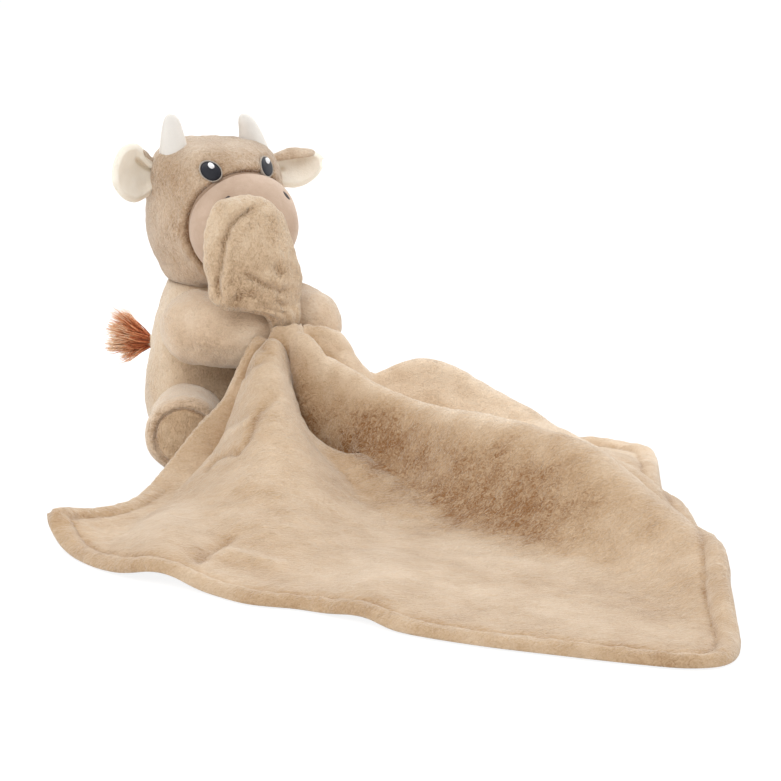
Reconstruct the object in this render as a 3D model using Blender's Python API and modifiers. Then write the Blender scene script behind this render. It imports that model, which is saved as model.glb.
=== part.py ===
"""Comfort blanket lovey: a seated plush calf that hugs the corner of a square plush blanket.

The calf faces -Y and sits on the XY plane, +Z is up, +X is the calf's left side.
The origin is the centre of the seat. Every soft form is a skin of plush over a filling,
and each piece that moves hangs from an empty that stands on its hinge.
"""

import math

import bmesh
import bpy
from mathutils import Matrix, Vector
from mathutils.geometry import interpolate_bezier

# Cloth and clearances
PLUSH = 0.0020            # plush skin with its pile pressed down
GAP = 0.0003              # clearance between two pieces that touch
OVERRUN = 0.004           # how far a cutter runs past what it cuts
FLOOR_CUT = 0.0005        # how deep a round form is flattened where it stands

# Body, a pear that is flat underneath and open at the neck
BODY_RADIUS = 0.0360
NECK_HEIGHT = 0.0860
BODY_OVER_NECK = 0.0120
BODY_TALL = NECK_HEIGHT + BODY_OVER_NECK
BODY_FLAT_RADIUS = 0.0230
BODY_SHARES = (           # height share, radius share
    (0.05, 0.83), (0.12, 0.95), (0.22, 1.00), (0.34, 0.99), (0.48, 0.94),
    (0.62, 0.87), (0.74, 0.79), (0.84, 0.68), (0.93, 0.50),
)
BODY_STEPS = 20

# Head, squarer above its widest level than below
HEAD_HALF_WIDTH = 0.0350
HEAD_HALF_DEPTH = 0.0370
HEAD_HALF_TALL = 0.0395
HEAD_FORWARD = 0.0030
HEAD_OVER_NECK = 0.0340
HEAD_HEIGHT = NECK_HEIGHT + HEAD_OVER_NECK
HEAD_TOP_POWER = 3.6
HEAD_LOW_POWER = 2.15
HEAD_HEADING = 6.5        # degrees that the face is turned to the calf's left

# Muzzle, a smooth panel on a bulge of the head's filling
MUZZLE_HALF_WIDTH = 0.0285
MUZZLE_HALF_DEPTH = 0.0275
MUZZLE_HALF_TALL = 0.0280
MUZZLE_FORWARD = 0.0335
MUZZLE_DROP = 0.0013       # below the head's centre
MUZZLE_HEIGHT = HEAD_HEIGHT - MUZZLE_DROP
SPHERE_SEGMENTS = 20
SPHERE_RINGS = 12

# Embroidered face
EYE_PLACE_SHARES = (0.449, 0.696)      # out and up from the head's centre
EYE_OUT = HEAD_HALF_WIDTH * EYE_PLACE_SHARES[0]
EYE_HEIGHT = HEAD_HEIGHT + HEAD_HALF_TALL * EYE_PLACE_SHARES[1]
EYE_HALF_WIDTH = 0.0052
EYE_HALF_TALL = 0.0056
EYE_RIM = 0.0008          # width of the pale stitched ring round the eye
EYE_PROUD = 0.0009
GLINT_RADIUS = 0.0012
GLINT_IN = 0.0006
GLINT_UP = 0.0024
NOSTRIL_PLACE_SHARES = (0.590, 0.636)  # out and up from the muzzle's centre
NOSTRIL_OUT = MUZZLE_HALF_WIDTH * NOSTRIL_PLACE_SHARES[0]
NOSTRIL_HEIGHT = MUZZLE_HEIGHT + MUZZLE_HALF_TALL * NOSTRIL_PLACE_SHARES[1]
NOSTRIL_LONG = 0.0026     # half its length
NOSTRIL_WIDE = 0.0008     # half its width
NOSTRIL_PROUD = 0.0005
NOSTRIL_SLANT = 38.0

# Ears, a cream lining on a plush back, cupped forward
EAR_ROOT_SHARE = 0.943     # of the head's half width
EAR_ROOT_OUT = HEAD_HALF_WIDTH * EAR_ROOT_SHARE
EAR_ROOT_FORWARD = 0.0010
EAR_UP_SHARES = (0.608, 0.532)         # right and left, up from the head's centre
RIGHT_EAR_ROOT_HEIGHT = HEAD_HEIGHT + HEAD_HALF_TALL * EAR_UP_SHARES[0]
LEFT_EAR_ROOT_HEIGHT = HEAD_HEIGHT + HEAD_HALF_TALL * EAR_UP_SHARES[1]
EAR_LONG = 0.0265
RIGHT_EAR_HALF_TALL = 0.0138
LEFT_EAR_HALF_TALL = 0.0105
EAR_CUP = 0.0065
EAR_SWEEP = 0.0100        # how far the tip lies in front of the root
EAR_RISE = 0.0030         # how far the tip lies above the root
EAR_LINING = 0.0011
EAR_INSET = 0.0011        # the lining stops short of the ear's edge
EAR_FLOP = 25.0
EAR_SHARES = (            # length share, half height share
    (-0.12, 0.52), (0.06, 0.66), (0.24, 0.88), (0.46, 1.00),
    (0.66, 0.95), (0.83, 0.76), (0.94, 0.50), (1.00, 0.22),
)
EAR_ACROSS = 6

# Horns
HORN_OUT_SHARE = 0.670     # of the head's half width
HORN_OUT = HEAD_HALF_WIDTH * HORN_OUT_SHARE
HORN_FORWARD = 0.0045
HORN_UP_SHARES = (0.920, 0.860)        # right and left, up from the head's centre
HORN_LONG = 0.0235
HORN_RADIUS = 0.0078
RIGHT_HORN_LEAN = 0.0015
LEFT_HORN_LEAN = -0.0065
HORN_SHARES = (           # length share, radius share
    (-0.12, 1.00), (0.00, 1.00), (0.22, 0.97), (0.45, 0.84), (0.66, 0.66), (0.84, 0.46), (0.96, 0.22),
)
HORN_SIDES = 14

# Arms, sausages that lie across the chest and meet at the gather
ARM_RADIUS = 0.0190
PAW_RADIUS = 0.0172
ARM_SIDES = 12
RIGHT_SHOULDER = (-0.0210, -0.0315, 0.0675)
RIGHT_ELBOW = (-0.0125, -0.0410, 0.0665)
RIGHT_PAW = (0.0003, -0.0507, 0.0650)
LEFT_SHOULDER = (0.0285, -0.0175, 0.0685)
LEFT_ELBOW = (0.0325, -0.0315, 0.0680)
LEFT_PAW = (0.0345, -0.0450, 0.0675)

# Legs, which turn on a ball of filling at the hip
HIP_OUT = 0.0205
HIP_FORWARD = 0.0180
HIP_RADIUS = 0.0170
LEG_HEIGHT = 0.0195
LEG_LONG = 0.0510         # from the hip's centre to the sole
LEG_RADIUS = 0.0200
LEG_SPLAY = 24.0
LEG_SWING_OUT = 14.0
LEG_SHARES = (            # length share, radius share
    (0.12, 0.90), (0.30, 0.96), (0.50, 0.99), (0.70, 0.98), (0.86, 1.00), (0.95, 0.96),
)
LEG_STEPS = 16
SOLE_RADIUS = 0.0150
SOLE_DOME = 0.0016
FOOT_EDGE = 0.0178        # radius where the foot's side turns into its sole

# Tail, a short plush stem with a tuft of long pile
TAIL_ROOT_OUT = -0.0080
TAIL_HEIGHT = 0.0470
TAIL_STEM_LONG = 0.0150
TAIL_STEM_RADIUS = 0.0034
TAIL_HEADING = 205.0      # degrees from +X, towards the calf's back right
TAIL_SWING_BACK = 65.0
TAIL_SWING_IN = 8.0
TUFT_LONG = 0.0215
TUFT_RADIUS = 0.0112
TUFT_LOCKS = 7
TUFT_SHARES = (           # length share, radius share, how deep the locks are cut
    (0.00, 0.40, 0.00), (0.14, 0.52, 0.06), (0.34, 0.58, 0.10), (0.56, 0.74, 0.16),
    (0.78, 0.92, 0.24), (1.00, 1.00, 0.34),
)

# Blanket, two square plush panels sewn edge to edge and gathered at the paws
BLANKET_SIDE = 0.3400
PANEL = 0.0017
GATHER_OUT = 0.0120
GATHER_FORWARD = 0.0680
GATHER_HEIGHT = 0.0770
GATHER_RADIUS = 0.0050
EDGE_FOLD_WIDTH = 0.0165   # of the folds that run along the two edges of the fan
HEM_WIDTH = 0.0100        # from the edge to the line of topstitching
STITCH_SINK = 0.0004
RAYS = 25
RINGS = 15
GATHER_CROWDING_POWER = 1.45
EDGE_HOLD_POWER = 5.0

# Routes on the blanket, from the gather: out, forward, height. The first two are shares
# of the blanket's side, the third a share of the gather's height.
RIGHT_EDGE_SHARES = (
    (-0.045, 0.000, 0.92), (-0.074, 0.012, 0.76), (-0.100, 0.024, 0.55), (-0.152, 0.041, 0.38),
    (-0.215, 0.076, 0.19), (-0.262, 0.116, 0.08), (-0.315, 0.165, 0.06), (-0.365, 0.190, 0.07),
    (-0.418, 0.206, 0.10), (-0.452, 0.236, 0.16),
)
LEFT_EDGE_SHARES = (
    (0.050, 0.000, 0.84), (0.112, -0.012, 0.74), (0.185, -0.020, 0.62), (0.253, 0.006, 0.42),
    (0.318, 0.041, 0.20), (0.406, 0.085, 0.08), (0.470, 0.140, 0.06), (0.500, 0.190, 0.06),
)
HEM_SHARES = (
    (-0.452, 0.236), (-0.456, 0.262), (-0.451, 0.310), (-0.438, 0.390), (-0.404, 0.470),
    (-0.352, 0.552), (-0.318, 0.624), (-0.268, 0.672), (-0.228, 0.736), (-0.190, 0.816),
    (-0.132, 0.894), (-0.060, 0.970), (0.004, 1.034), (0.052, 1.074), (0.096, 1.084),
    (0.134, 1.056), (0.172, 0.992), (0.208, 0.918), (0.259, 0.820), (0.332, 0.630),
    (0.406, 0.424), (0.456, 0.320), (0.492, 0.252), (0.506, 0.218), (0.500, 0.190),
)
# Folds: out, forward, height, half width. The half width is a share of the blanket's side.
FOLD_SHARES = {
    "long_ridge": (
        (0.000, 0.000, 1.00, 0.060), (0.053, 0.070, 0.76, 0.050), (0.106, 0.203, 0.60, 0.054),
        (0.147, 0.335, 0.58, 0.060), (0.194, 0.453, 0.57, 0.064), (0.222, 0.576, 0.45, 0.064),
        (0.238, 0.700, 0.31, 0.060), (0.230, 0.859, 0.19, 0.054), (0.196, 0.960, 0.12, 0.044),
    ),
    "lap_fold": (
        (0.000, 0.000, 1.00, 0.060), (-0.041, 0.056, 0.84, 0.066), (-0.079, 0.130, 0.60, 0.084),
        (-0.118, 0.218, 0.38, 0.090), (-0.168, 0.320, 0.20, 0.090), (-0.212, 0.424, 0.09, 0.080),
    ),
    "knee_fold": (
        (0.000, 0.000, 1.00, 0.060), (0.068, 0.018, 0.95, 0.044), (0.100, 0.026, 0.80, 0.046),
        (0.130, 0.032, 0.65, 0.052),
        (0.206, 0.056, 0.68, 0.070), (0.274, 0.115, 0.50, 0.070), (0.332, 0.188, 0.28, 0.060),
        (0.406, 0.247, 0.10, 0.050),
    ),
    "back_fold": (
        (0.270, 0.270, 0.34, 0.052), (0.312, 0.400, 0.30, 0.050), (0.318, 0.540, 0.20, 0.046),
        (0.300, 0.680, 0.08, 0.040),
    ),
    "corner_fold": (
        (-0.220, 0.200, 0.05, 0.040), (-0.290, 0.300, 0.13, 0.040), (-0.345, 0.420, 0.15, 0.040),
        (-0.385, 0.500, 0.09, 0.034),
    ),
    "hem_fold": (
        (-0.100, 0.560, 0.05, 0.040), (-0.165, 0.680, 0.08, 0.036), (-0.215, 0.750, 0.05, 0.030),
    ),
}
FOLD_POWER = 1.9
FOLD_BLEND_POWER = 5.0

# Held corner of the blanket, which stands up between the paws against the muzzle
CORNER_STAND_OFF = 0.0612  # from the neck's axis, outside the path of the turning muzzle
CORNER_TALL = 0.0570
CORNER_WIDE = 0.0500
CORNER_THICK = 0.0150
# Height share, right edge and left edge as width shares, thickness share, and how far the
# back stands off its cylinder as a thickness share
CORNER_SHARES = (
    (-0.15, 0.158, 0.322, 0.54, 0.24), (-0.02, 0.158, 0.322, 0.54, 0.24), (0.00, 0.09, 0.40, 0.70, 0.10),
    (0.05, -0.16, 0.46, 0.84, 0.00), (0.14, -0.48, 0.47, 0.94, 0.00), (0.28, -0.56, 0.43, 1.00, 0.00),
    (0.46, -0.58, 0.37, 1.00, 0.00), (0.64, -0.56, 0.30, 0.90, 0.00), (0.80, -0.50, 0.20, 0.76, 0.00),
    (0.92, -0.40, 0.06, 0.60, 0.00), (0.98, -0.30, -0.08, 0.44, 0.00),
)
CORNER_SIDES = 20

# Colours
BEIGE = (0.640, 0.470, 0.315, 1.0)
SAND = (0.700, 0.530, 0.365, 1.0)
ROSE_BEIGE = (0.610, 0.440, 0.345, 1.0)
CREAM = (0.800, 0.730, 0.580, 1.0)
OFF_WHITE = (0.860, 0.850, 0.820, 1.0)
NEAR_BLACK = (0.012, 0.011, 0.014, 1.0)
PALE_THREAD = (0.560, 0.520, 0.480, 1.0)
RUST = (0.420, 0.120, 0.045, 1.0)
POLYFILL = (0.870, 0.870, 0.860, 1.0)


def clear_scene():
    for obj in list(bpy.data.objects):
        bpy.data.objects.remove(obj, do_unlink=True)


def collection(name):
    group = bpy.data.collections.new(name)
    bpy.context.scene.collection.children.link(group)
    return group


def cloth(name, colour, roughness=0.9):
    made = bpy.data.materials.new(name)
    made.use_nodes = True
    shader = made.node_tree.nodes["Principled BSDF"]
    shader.inputs["Base Color"].default_value = colour
    shader.inputs["Roughness"].default_value = roughness
    shader.inputs["Metallic"].default_value = 0.0
    return made


def smooth(obj):
    for face in obj.data.polygons:
        face.use_smooth = True


class Lovey:
    """Keeps the collections, the hinges and what every new piece needs."""

    def __init__(self):
        self.parts = collection("comfort_blanket_lovey")
        self.cutters = collection("cutters")
        self.hinges = {}

    def hinge(self, name, place, parent=None, heading=0.0):
        empty = bpy.data.objects.new(name + "_hinge", None)
        self.parts.objects.link(empty)
        empty.rotation_euler.z = math.radians(heading)
        place = Vector(place)
        base = Vector()
        if parent:
            empty.parent = self.hinges[parent][0]
            base = self.hinges[parent][1]
        empty.location = place - base
        self.hinges[name] = (empty, place)

    def piece(self, name, mesh, material, hinge=None):
        """A part made in the toy's coordinates, then set on its hinge."""
        obj = bpy.data.objects.new(name, mesh)
        mesh.materials.append(material)
        self.parts.objects.link(obj)
        self.hang(obj, hinge)
        smooth(obj)
        return obj

    def cutter(self, name, mesh, hinge=None):
        obj = bpy.data.objects.new(name, mesh)
        self.cutters.objects.link(obj)
        self.hang(obj, hinge)
        obj.hide_render = True
        obj.display_type = "WIRE"
        return obj

    def hang(self, obj, hinge):
        if hinge:
            empty, place = self.hinges[hinge]
            obj.data.transform(Matrix.Translation(-place))
            obj.parent = empty


def cut(obj, *cutters):
    for cutter in cutters:
        step = obj.modifiers.new("cut_" + cutter.name, "BOOLEAN")
        step.operation = "DIFFERENCE"
        step.solver = "EXACT"
        step.object = cutter


def mesh_from(bm, name):
    bmesh.ops.recalc_face_normals(bm, faces=bm.faces)
    mesh = bpy.data.meshes.new(name)
    bm.to_mesh(mesh)
    bm.free()
    return mesh


def loft(name, rings):
    """Closed skin over rings of points, with a pole in the middle of each end."""
    bm = bmesh.new()
    loops = []
    for ring in rings:
        loops.append([bm.verts.new(point) for point in ring])
    sides = len(loops[0])
    for lower, upper in zip(loops, loops[1:]):
        for index in range(sides):
            after = (index + 1) % sides
            bm.faces.new((lower[index], lower[after], upper[after], upper[index]))
    for loop in (loops[0], loops[-1]):
        middle = sum((vert.co for vert in loop), Vector()) / sides
        pole = bm.verts.new(middle)
        for index in range(sides):
            bm.faces.new((loop[index], loop[(index + 1) % sides], pole))
    return mesh_from(bm, name)


def ring_round(centre, heading, radius, sides, upright):
    """Points on a circle round a centre, square to the heading."""
    side = heading.cross(upright).normalized()
    top = side.cross(heading).normalized()
    points = []
    for index in range(sides):
        angle = math.tau * index / sides
        points.append(centre + radius * (math.cos(angle) * side + math.sin(angle) * top))
    return points


def route_between(start, middle, end, count):
    """Smooth route through three points."""
    start, middle, end = Vector(start), Vector(middle), Vector(end)
    lean = (end - start) / 4
    half = count // 2 + 1
    first = interpolate_bezier(start, start + (middle - start) / 3, middle - lean / 2, middle, half)
    second = interpolate_bezier(middle, middle + lean / 2, end - (end - middle) / 3, end, half)
    return first + second[1:]


def sausage(name, route, radii, sides):
    """Stuffed limb: round ends, and a radius that changes along its route."""
    upright = Vector((0.0, 0.0, 1.0))
    rings = []
    cap_angles = (16.0, 46.0, 74.0)
    start_heading = (route[1] - route[0]).normalized()
    for angle in cap_angles:
        bend = math.radians(angle)
        centre = route[0] - start_heading * radii[0] * math.cos(bend)
        rings.append(ring_round(centre, start_heading, radii[0] * math.sin(bend), sides, upright))
    for index, centre in enumerate(route):
        ahead = route[min(index + 1, len(route) - 1)]
        behind = route[max(index - 1, 0)]
        heading = (ahead - behind).normalized()
        rings.append(ring_round(centre, heading, radii[index], sides, upright))
    end_heading = (route[-1] - route[-2]).normalized()
    for angle in reversed(cap_angles):
        bend = math.radians(angle)
        centre = route[-1] + end_heading * radii[-1] * math.cos(bend)
        rings.append(ring_round(centre, end_heading, radii[-1] * math.sin(bend), sides, upright))
    return loft(name, rings)


def turned(name, profile, steps, matrix=None):
    """Solid of revolution about Z from a profile of radius and height, bottom to top."""
    bm = bmesh.new()
    previous = None
    for radius, height in reversed(profile):
        vert = bm.verts.new((radius, 0.0, height))
        if previous:
            bm.edges.new((previous, vert))
        previous = vert
    mesh = bpy.data.meshes.new(name)
    bm.to_mesh(mesh)
    bm.free()
    holder = bpy.data.objects.new(name + "_profile", mesh)
    bpy.context.scene.collection.objects.link(holder)
    screw = holder.modifiers.new("turn", "SCREW")
    screw.axis = "Z"
    screw.steps = steps
    screw.render_steps = steps
    screw.use_merge_vertices = True
    screw.merge_threshold = 0.00001
    screw.use_normal_calculate = True
    graph = bpy.context.evaluated_depsgraph_get()
    solid = bpy.data.meshes.new_from_object(holder.evaluated_get(graph))
    solid.name = name
    bpy.data.objects.remove(holder, do_unlink=True)
    bm = bmesh.new()
    bm.from_mesh(solid)
    bmesh.ops.remove_doubles(bm, verts=bm.verts, dist=screw_weld())
    bmesh.ops.recalc_face_normals(bm, faces=bm.faces)
    bm.to_mesh(solid)
    bm.free()
    if matrix is not None:
        solid.transform(matrix)
    return solid


def screw_weld():
    return GAP / 10


def block(name, low, high):
    bm = bmesh.new()
    bmesh.ops.create_cube(bm, size=1.0)
    low, high = Vector(low), Vector(high)
    for vert in bm.verts:
        for axis in range(3):
            vert.co[axis] = high[axis] if vert.co[axis] > 0 else low[axis]
    return mesh_from(bm, name)


def ball(name, centre, half_sizes, segments=SPHERE_SEGMENTS, rings=SPHERE_RINGS, shape=None):
    """Ellipsoid from a sphere, or a shaped form where shape moves each unit point."""
    bm = bmesh.new()
    bmesh.ops.create_uvsphere(bm, u_segments=segments, v_segments=rings, radius=1.0)
    for vert in bm.verts:
        unit = shape(vert.co) if shape else vert.co
        for axis in range(3):
            vert.co[axis] = centre[axis] + unit[axis] * half_sizes[axis]
    return mesh_from(bm, name)


def body_form(name, grow=0.0):
    """The body's pear, grown or shrunk all over by the same amount."""
    profile = [(0.0, -grow - FLOOR_CUT), (BODY_FLAT_RADIUS + grow / 2, -grow - FLOOR_CUT)]
    for height_share, radius_share in BODY_SHARES:
        profile.append((BODY_RADIUS * radius_share + grow, BODY_TALL * height_share))
    profile.append((BODY_RADIUS * BODY_SHARES[-1][1] / 2, BODY_TALL + grow))
    profile.append((0.0, BODY_TALL + grow))
    return turned(name, profile, BODY_STEPS)


def head_shape(unit):
    """Turns the unit sphere into a squarer round: level sets the radius by a power."""
    level = max(-1.0, min(1.0, unit.z))
    flat = math.hypot(unit.x, unit.y)
    power = HEAD_TOP_POWER if level > 0 else HEAD_LOW_POWER
    radius = (1.0 - abs(level) ** power) ** (1.0 / power) if abs(level) < 1.0 else 0.0
    stretch = radius / flat if flat > 0 else 0.0
    return Vector((unit.x * stretch, unit.y * stretch, level))


def head_form(name, grow=0.0):
    half_sizes = (HEAD_HALF_WIDTH + grow, HEAD_HALF_DEPTH + grow, HEAD_HALF_TALL + grow)
    return ball(name, (0.0, -HEAD_FORWARD, HEAD_HEIGHT), half_sizes, shape=head_shape)


def muzzle_form(name, grow=0.0):
    half_sizes = (MUZZLE_HALF_WIDTH + grow, MUZZLE_HALF_DEPTH + grow, MUZZLE_HALF_TALL + grow)
    return ball(name, (0.0, -MUZZLE_FORWARD, MUZZLE_HEIGHT), half_sizes)


def head_front(out, height):
    """How far forward the head's surface lies at a place seen from the front."""
    level = (height - HEAD_HEIGHT) / HEAD_HALF_TALL
    power = HEAD_TOP_POWER if level > 0 else HEAD_LOW_POWER
    radius = (1.0 - abs(level) ** power) ** (1.0 / power)
    side = out / HEAD_HALF_WIDTH
    return HEAD_FORWARD + HEAD_HALF_DEPTH * math.sqrt(radius ** 2 - side ** 2)


def muzzle_front(out, height):
    side = out / MUZZLE_HALF_WIDTH
    level = (height - MUZZLE_HEIGHT) / MUZZLE_HALF_TALL
    return MUZZLE_FORWARD + MUZZLE_HALF_DEPTH * math.sqrt(1.0 - side ** 2 - level ** 2)


def build_body(lovey, materials):
    neck_cut = block(
        "neck_cut",
        (-BODY_RADIUS, -BODY_RADIUS, NECK_HEIGHT - GAP / 2),
        (BODY_RADIUS, BODY_RADIUS, BODY_TALL + OVERRUN),
    )
    neck = lovey.cutter("body_neck_cut", neck_cut)
    floor = lovey.cutter("body_floor_cut", floor_block("body_floor_cut"))
    inner = lovey.cutter("body_hollow", body_hollow("body_hollow", PLUSH))
    sockets = []
    for side_name, side in (("left", 1.0), ("right", -1.0)):
        radius = HIP_RADIUS + 2 * GAP
        socket = ball(side_name + "_hip_socket", hip_place(side), (radius, radius, radius))
        sockets.append(lovey.cutter(side_name + "_hip_socket", socket))
        for index, swing in enumerate((0.0, LEG_SWING_OUT)):
            name = "%s_leg_clear_%d" % (side_name, index)
            place = leg_place(side, LEG_SPLAY + swing)
            clear = turned(name, leg_sides(GAP, -3 * GAP), LEG_STEPS, place)
            sockets.append(lovey.cutter(name, clear))
    skin = lovey.piece("body_skin", body_form("body_skin"), materials["body"])
    cut(skin, inner, neck, floor, *sockets)
    filling_mesh = body_hollow("body_filling", PLUSH + GAP)
    filling = lovey.piece("body_filling", filling_mesh, materials["filling"])
    cut(filling, neck, *sockets)


def body_hollow(name, thickness):
    """The inside of the body's skin, which keeps its thickness underneath too."""
    profile = [(0.0, thickness), (BODY_FLAT_RADIUS, thickness)]
    for height_share, radius_share in BODY_SHARES:
        height = BODY_TALL * height_share
        if height > thickness + GAP:
            profile.append((BODY_RADIUS * radius_share - thickness, height))
    profile.append((BODY_RADIUS * BODY_SHARES[-1][1] / 2, BODY_TALL + OVERRUN / 2 - thickness))
    profile.append((0.0, BODY_TALL + OVERRUN / 2 - thickness))
    return turned(name, profile, BODY_STEPS)


def floor_block(name):
    reach = BLANKET_SIDE
    return block(name, (-reach, -reach, -OVERRUN), (reach, reach, 0.0))


def build_head(lovey, materials):
    lovey.hinge("head", (0.0, 0.0, NECK_HEIGHT), heading=HEAD_HEADING)
    neck_cut = block(
        "chin_cut",
        (-HEAD_HALF_WIDTH, -HEAD_HALF_DEPTH - HEAD_FORWARD, HEAD_HEIGHT - HEAD_HALF_TALL - OVERRUN),
        (HEAD_HALF_WIDTH, HEAD_HALF_DEPTH, NECK_HEIGHT + GAP / 2),
    )
    neck = lovey.cutter("head_neck_cut", neck_cut, "head")
    head_inside = lovey.cutter("head_inside", head_form("head_inside", -PLUSH), "head")
    muzzle_inside = lovey.cutter("muzzle_inside", muzzle_form("muzzle_inside", -PLUSH), "head")
    muzzle_hole = lovey.cutter("muzzle_hole", muzzle_form("muzzle_hole", GAP), "head")
    head_clear = lovey.cutter("head_clear", head_form("head_clear", GAP), "head")
    skin = lovey.piece("head_skin", head_form("head_skin"), materials["head"], "head")
    cut(skin, head_inside, muzzle_hole, neck)
    panel = lovey.piece("muzzle_panel", muzzle_form("muzzle_panel"), materials["muzzle"], "head")
    cut(panel, muzzle_inside, head_clear)
    filling_mesh = head_form("head_filling", -PLUSH - GAP)
    filling = lovey.piece("head_filling", filling_mesh, materials["filling"], "head")
    bulge = lovey.cutter("muzzle_bulge", muzzle_form("muzzle_bulge", -PLUSH - GAP), "head")
    join = filling.modifiers.new("join_bulge", "BOOLEAN")
    join.operation = "UNION"
    join.solver = "EXACT"
    join.object = bulge
    cut(filling, neck)


def patch(name, centre, half_sizes, slant, segments, rings):
    """A low round patch of stitches, tilted in the plane of the face."""
    mesh = ball(name, (0.0, 0.0, 0.0), half_sizes, segments, rings)
    mesh.transform(Matrix.Rotation(math.radians(slant), 4, "Y"))
    mesh.transform(Matrix.Translation(Vector(centre)))
    return mesh


def build_face(lovey, materials):
    seat = lovey.cutter("eye_seat", head_form("eye_seat", GAP), "head")
    nose_seat = lovey.cutter("nose_seat", muzzle_form("nose_seat", GAP), "head")
    deep = EYE_HALF_TALL
    for side_name, side in (("left", 1.0), ("right", -1.0)):
        front = head_front(EYE_OUT, EYE_HEIGHT)
        normal = head_normal(side * EYE_OUT, EYE_HEIGHT)
        middle = Vector((side * EYE_OUT, -front, EYE_HEIGHT))
        turn = normal.to_track_quat("-Y", "Z").to_matrix().to_4x4()
        rim_half = EYE_HALF_WIDTH + EYE_RIM
        rim_tall = EYE_HALF_TALL + EYE_RIM
        eye_mesh = disc_prism(side_name + "_eye", EYE_HALF_WIDTH, EYE_HALF_TALL, EYE_PROUD, deep)
        rim_mesh = disc_prism(side_name + "_eye_rim", rim_half, rim_tall, EYE_PROUD - GAP, deep)
        hole_mesh = disc_prism(
            side_name + "_eye_hole", EYE_HALF_WIDTH + GAP, EYE_HALF_TALL + GAP, deep, deep + GAP
        )
        glint_mesh = disc_prism(side_name + "_glint", GLINT_RADIUS, GLINT_RADIUS, EYE_PROUD + GAP, deep)
        glint_hole = disc_prism(
            side_name + "_glint_hole", GLINT_RADIUS + GAP, GLINT_RADIUS + GAP, deep, deep + GAP
        )
        shift = Matrix.Translation(Vector((GLINT_IN, 0.0, GLINT_UP)))
        for mesh in (glint_mesh, glint_hole):
            mesh.transform(shift)
        place = Matrix.Translation(middle) @ turn
        for mesh in (eye_mesh, rim_mesh, hole_mesh, glint_mesh, glint_hole):
            mesh.transform(place)
        eye_cut = lovey.cutter(side_name + "_eye_hole", hole_mesh, "head")
        glint_cut = lovey.cutter(side_name + "_glint_hole", glint_hole, "head")
        rim = lovey.piece(side_name + "_eye_rim", rim_mesh, materials["eye_rim"], "head")
        cut(rim, seat, nose_seat, eye_cut)
        eye = lovey.piece(side_name + "_eye", eye_mesh, materials["eye"], "head")
        cut(eye, seat, nose_seat, glint_cut)
        glint = lovey.piece(side_name + "_eye_glint", glint_mesh, materials["glint"], "head")
        cut(glint, seat)
    for side_name, side in (("left", 1.0), ("right", -1.0)):
        front = muzzle_front(NOSTRIL_OUT, NOSTRIL_HEIGHT)
        centre = (side * NOSTRIL_OUT, -front, NOSTRIL_HEIGHT)
        half_sizes = (NOSTRIL_LONG, NOSTRIL_PROUD * 3, NOSTRIL_WIDE)
        mesh = patch(side_name + "_nostril", centre, half_sizes, side * NOSTRIL_SLANT, 10, 6)
        nostril = lovey.piece(side_name + "_nostril", mesh, materials["eye"], "head")
        cut(nostril, nose_seat)


def head_normal(out, height):
    """Outward direction of the head's surface, from two short steps along it."""
    step = EYE_RIM
    here = Vector((out, -head_front(out, height), height))
    across = Vector((out + step, -head_front(out + step, height), height))
    above = Vector((out, -head_front(out, height + step), height + step))
    normal = (across - here).cross(above - here).normalized()
    return -normal if normal.y > 0 else normal


def disc_prism(name, half_wide, half_tall, proud, deep):
    """An oval plug along Y, its low dome facing -Y."""
    rings = []
    sides = 12
    for inset_share, y in ((1.0, deep), (1.0, -proud / 2), (0.86, -proud), (0.4, -proud * 1.25)):
        ring = []
        for index in range(sides):
            angle = math.tau * index / sides
            x = half_wide * inset_share * math.cos(angle)
            z = half_tall * inset_share * math.sin(angle)
            ring.append(Vector((x, y, z)))
        rings.append(ring)
    return loft(name, rings)


def ear_sheet(name, side, root_height, half_tall, inset, back_offset):
    """Cupped leaf of cloth, from inside the head's surface out to the tip."""
    bm = bmesh.new()
    rows = []
    for length_share, tall_share in EAR_SHARES:
        long = (EAR_LONG - inset) * length_share
        half = max(half_tall * tall_share - inset, inset)
        along = length_share
        row = []
        for index in range(EAR_ACROSS + 1):
            across = 2.0 * index / EAR_ACROSS - 1.0
            cup = EAR_CUP * (1.0 - across ** 2) * tall_share * (1.0 - 0.35 * along)
            x = side * (EAR_ROOT_OUT + long)
            y = -EAR_ROOT_FORWARD - EAR_SWEEP * along + cup + back_offset
            z = root_height + EAR_RISE * along + half * across
            row.append(bm.verts.new((x, y, z)))
        rows.append(row)
    for lower, upper in zip(rows, rows[1:]):
        for index in range(EAR_ACROSS):
            bm.faces.new((lower[index], lower[index + 1], upper[index + 1], upper[index]))
    mesh = mesh_from(bm, name)
    normal = mesh.polygons[len(mesh.polygons) // 2].normal
    if normal.y < 0:
        mesh.flip_normals()
    return mesh


def thicken(obj, thickness):
    """Adds thickness on the side that the faces point to."""
    solid = obj.modifiers.new("thickness", "SOLIDIFY")
    solid.thickness = thickness
    solid.offset = 1.0
    solid.use_even_offset = False
    return solid


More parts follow.
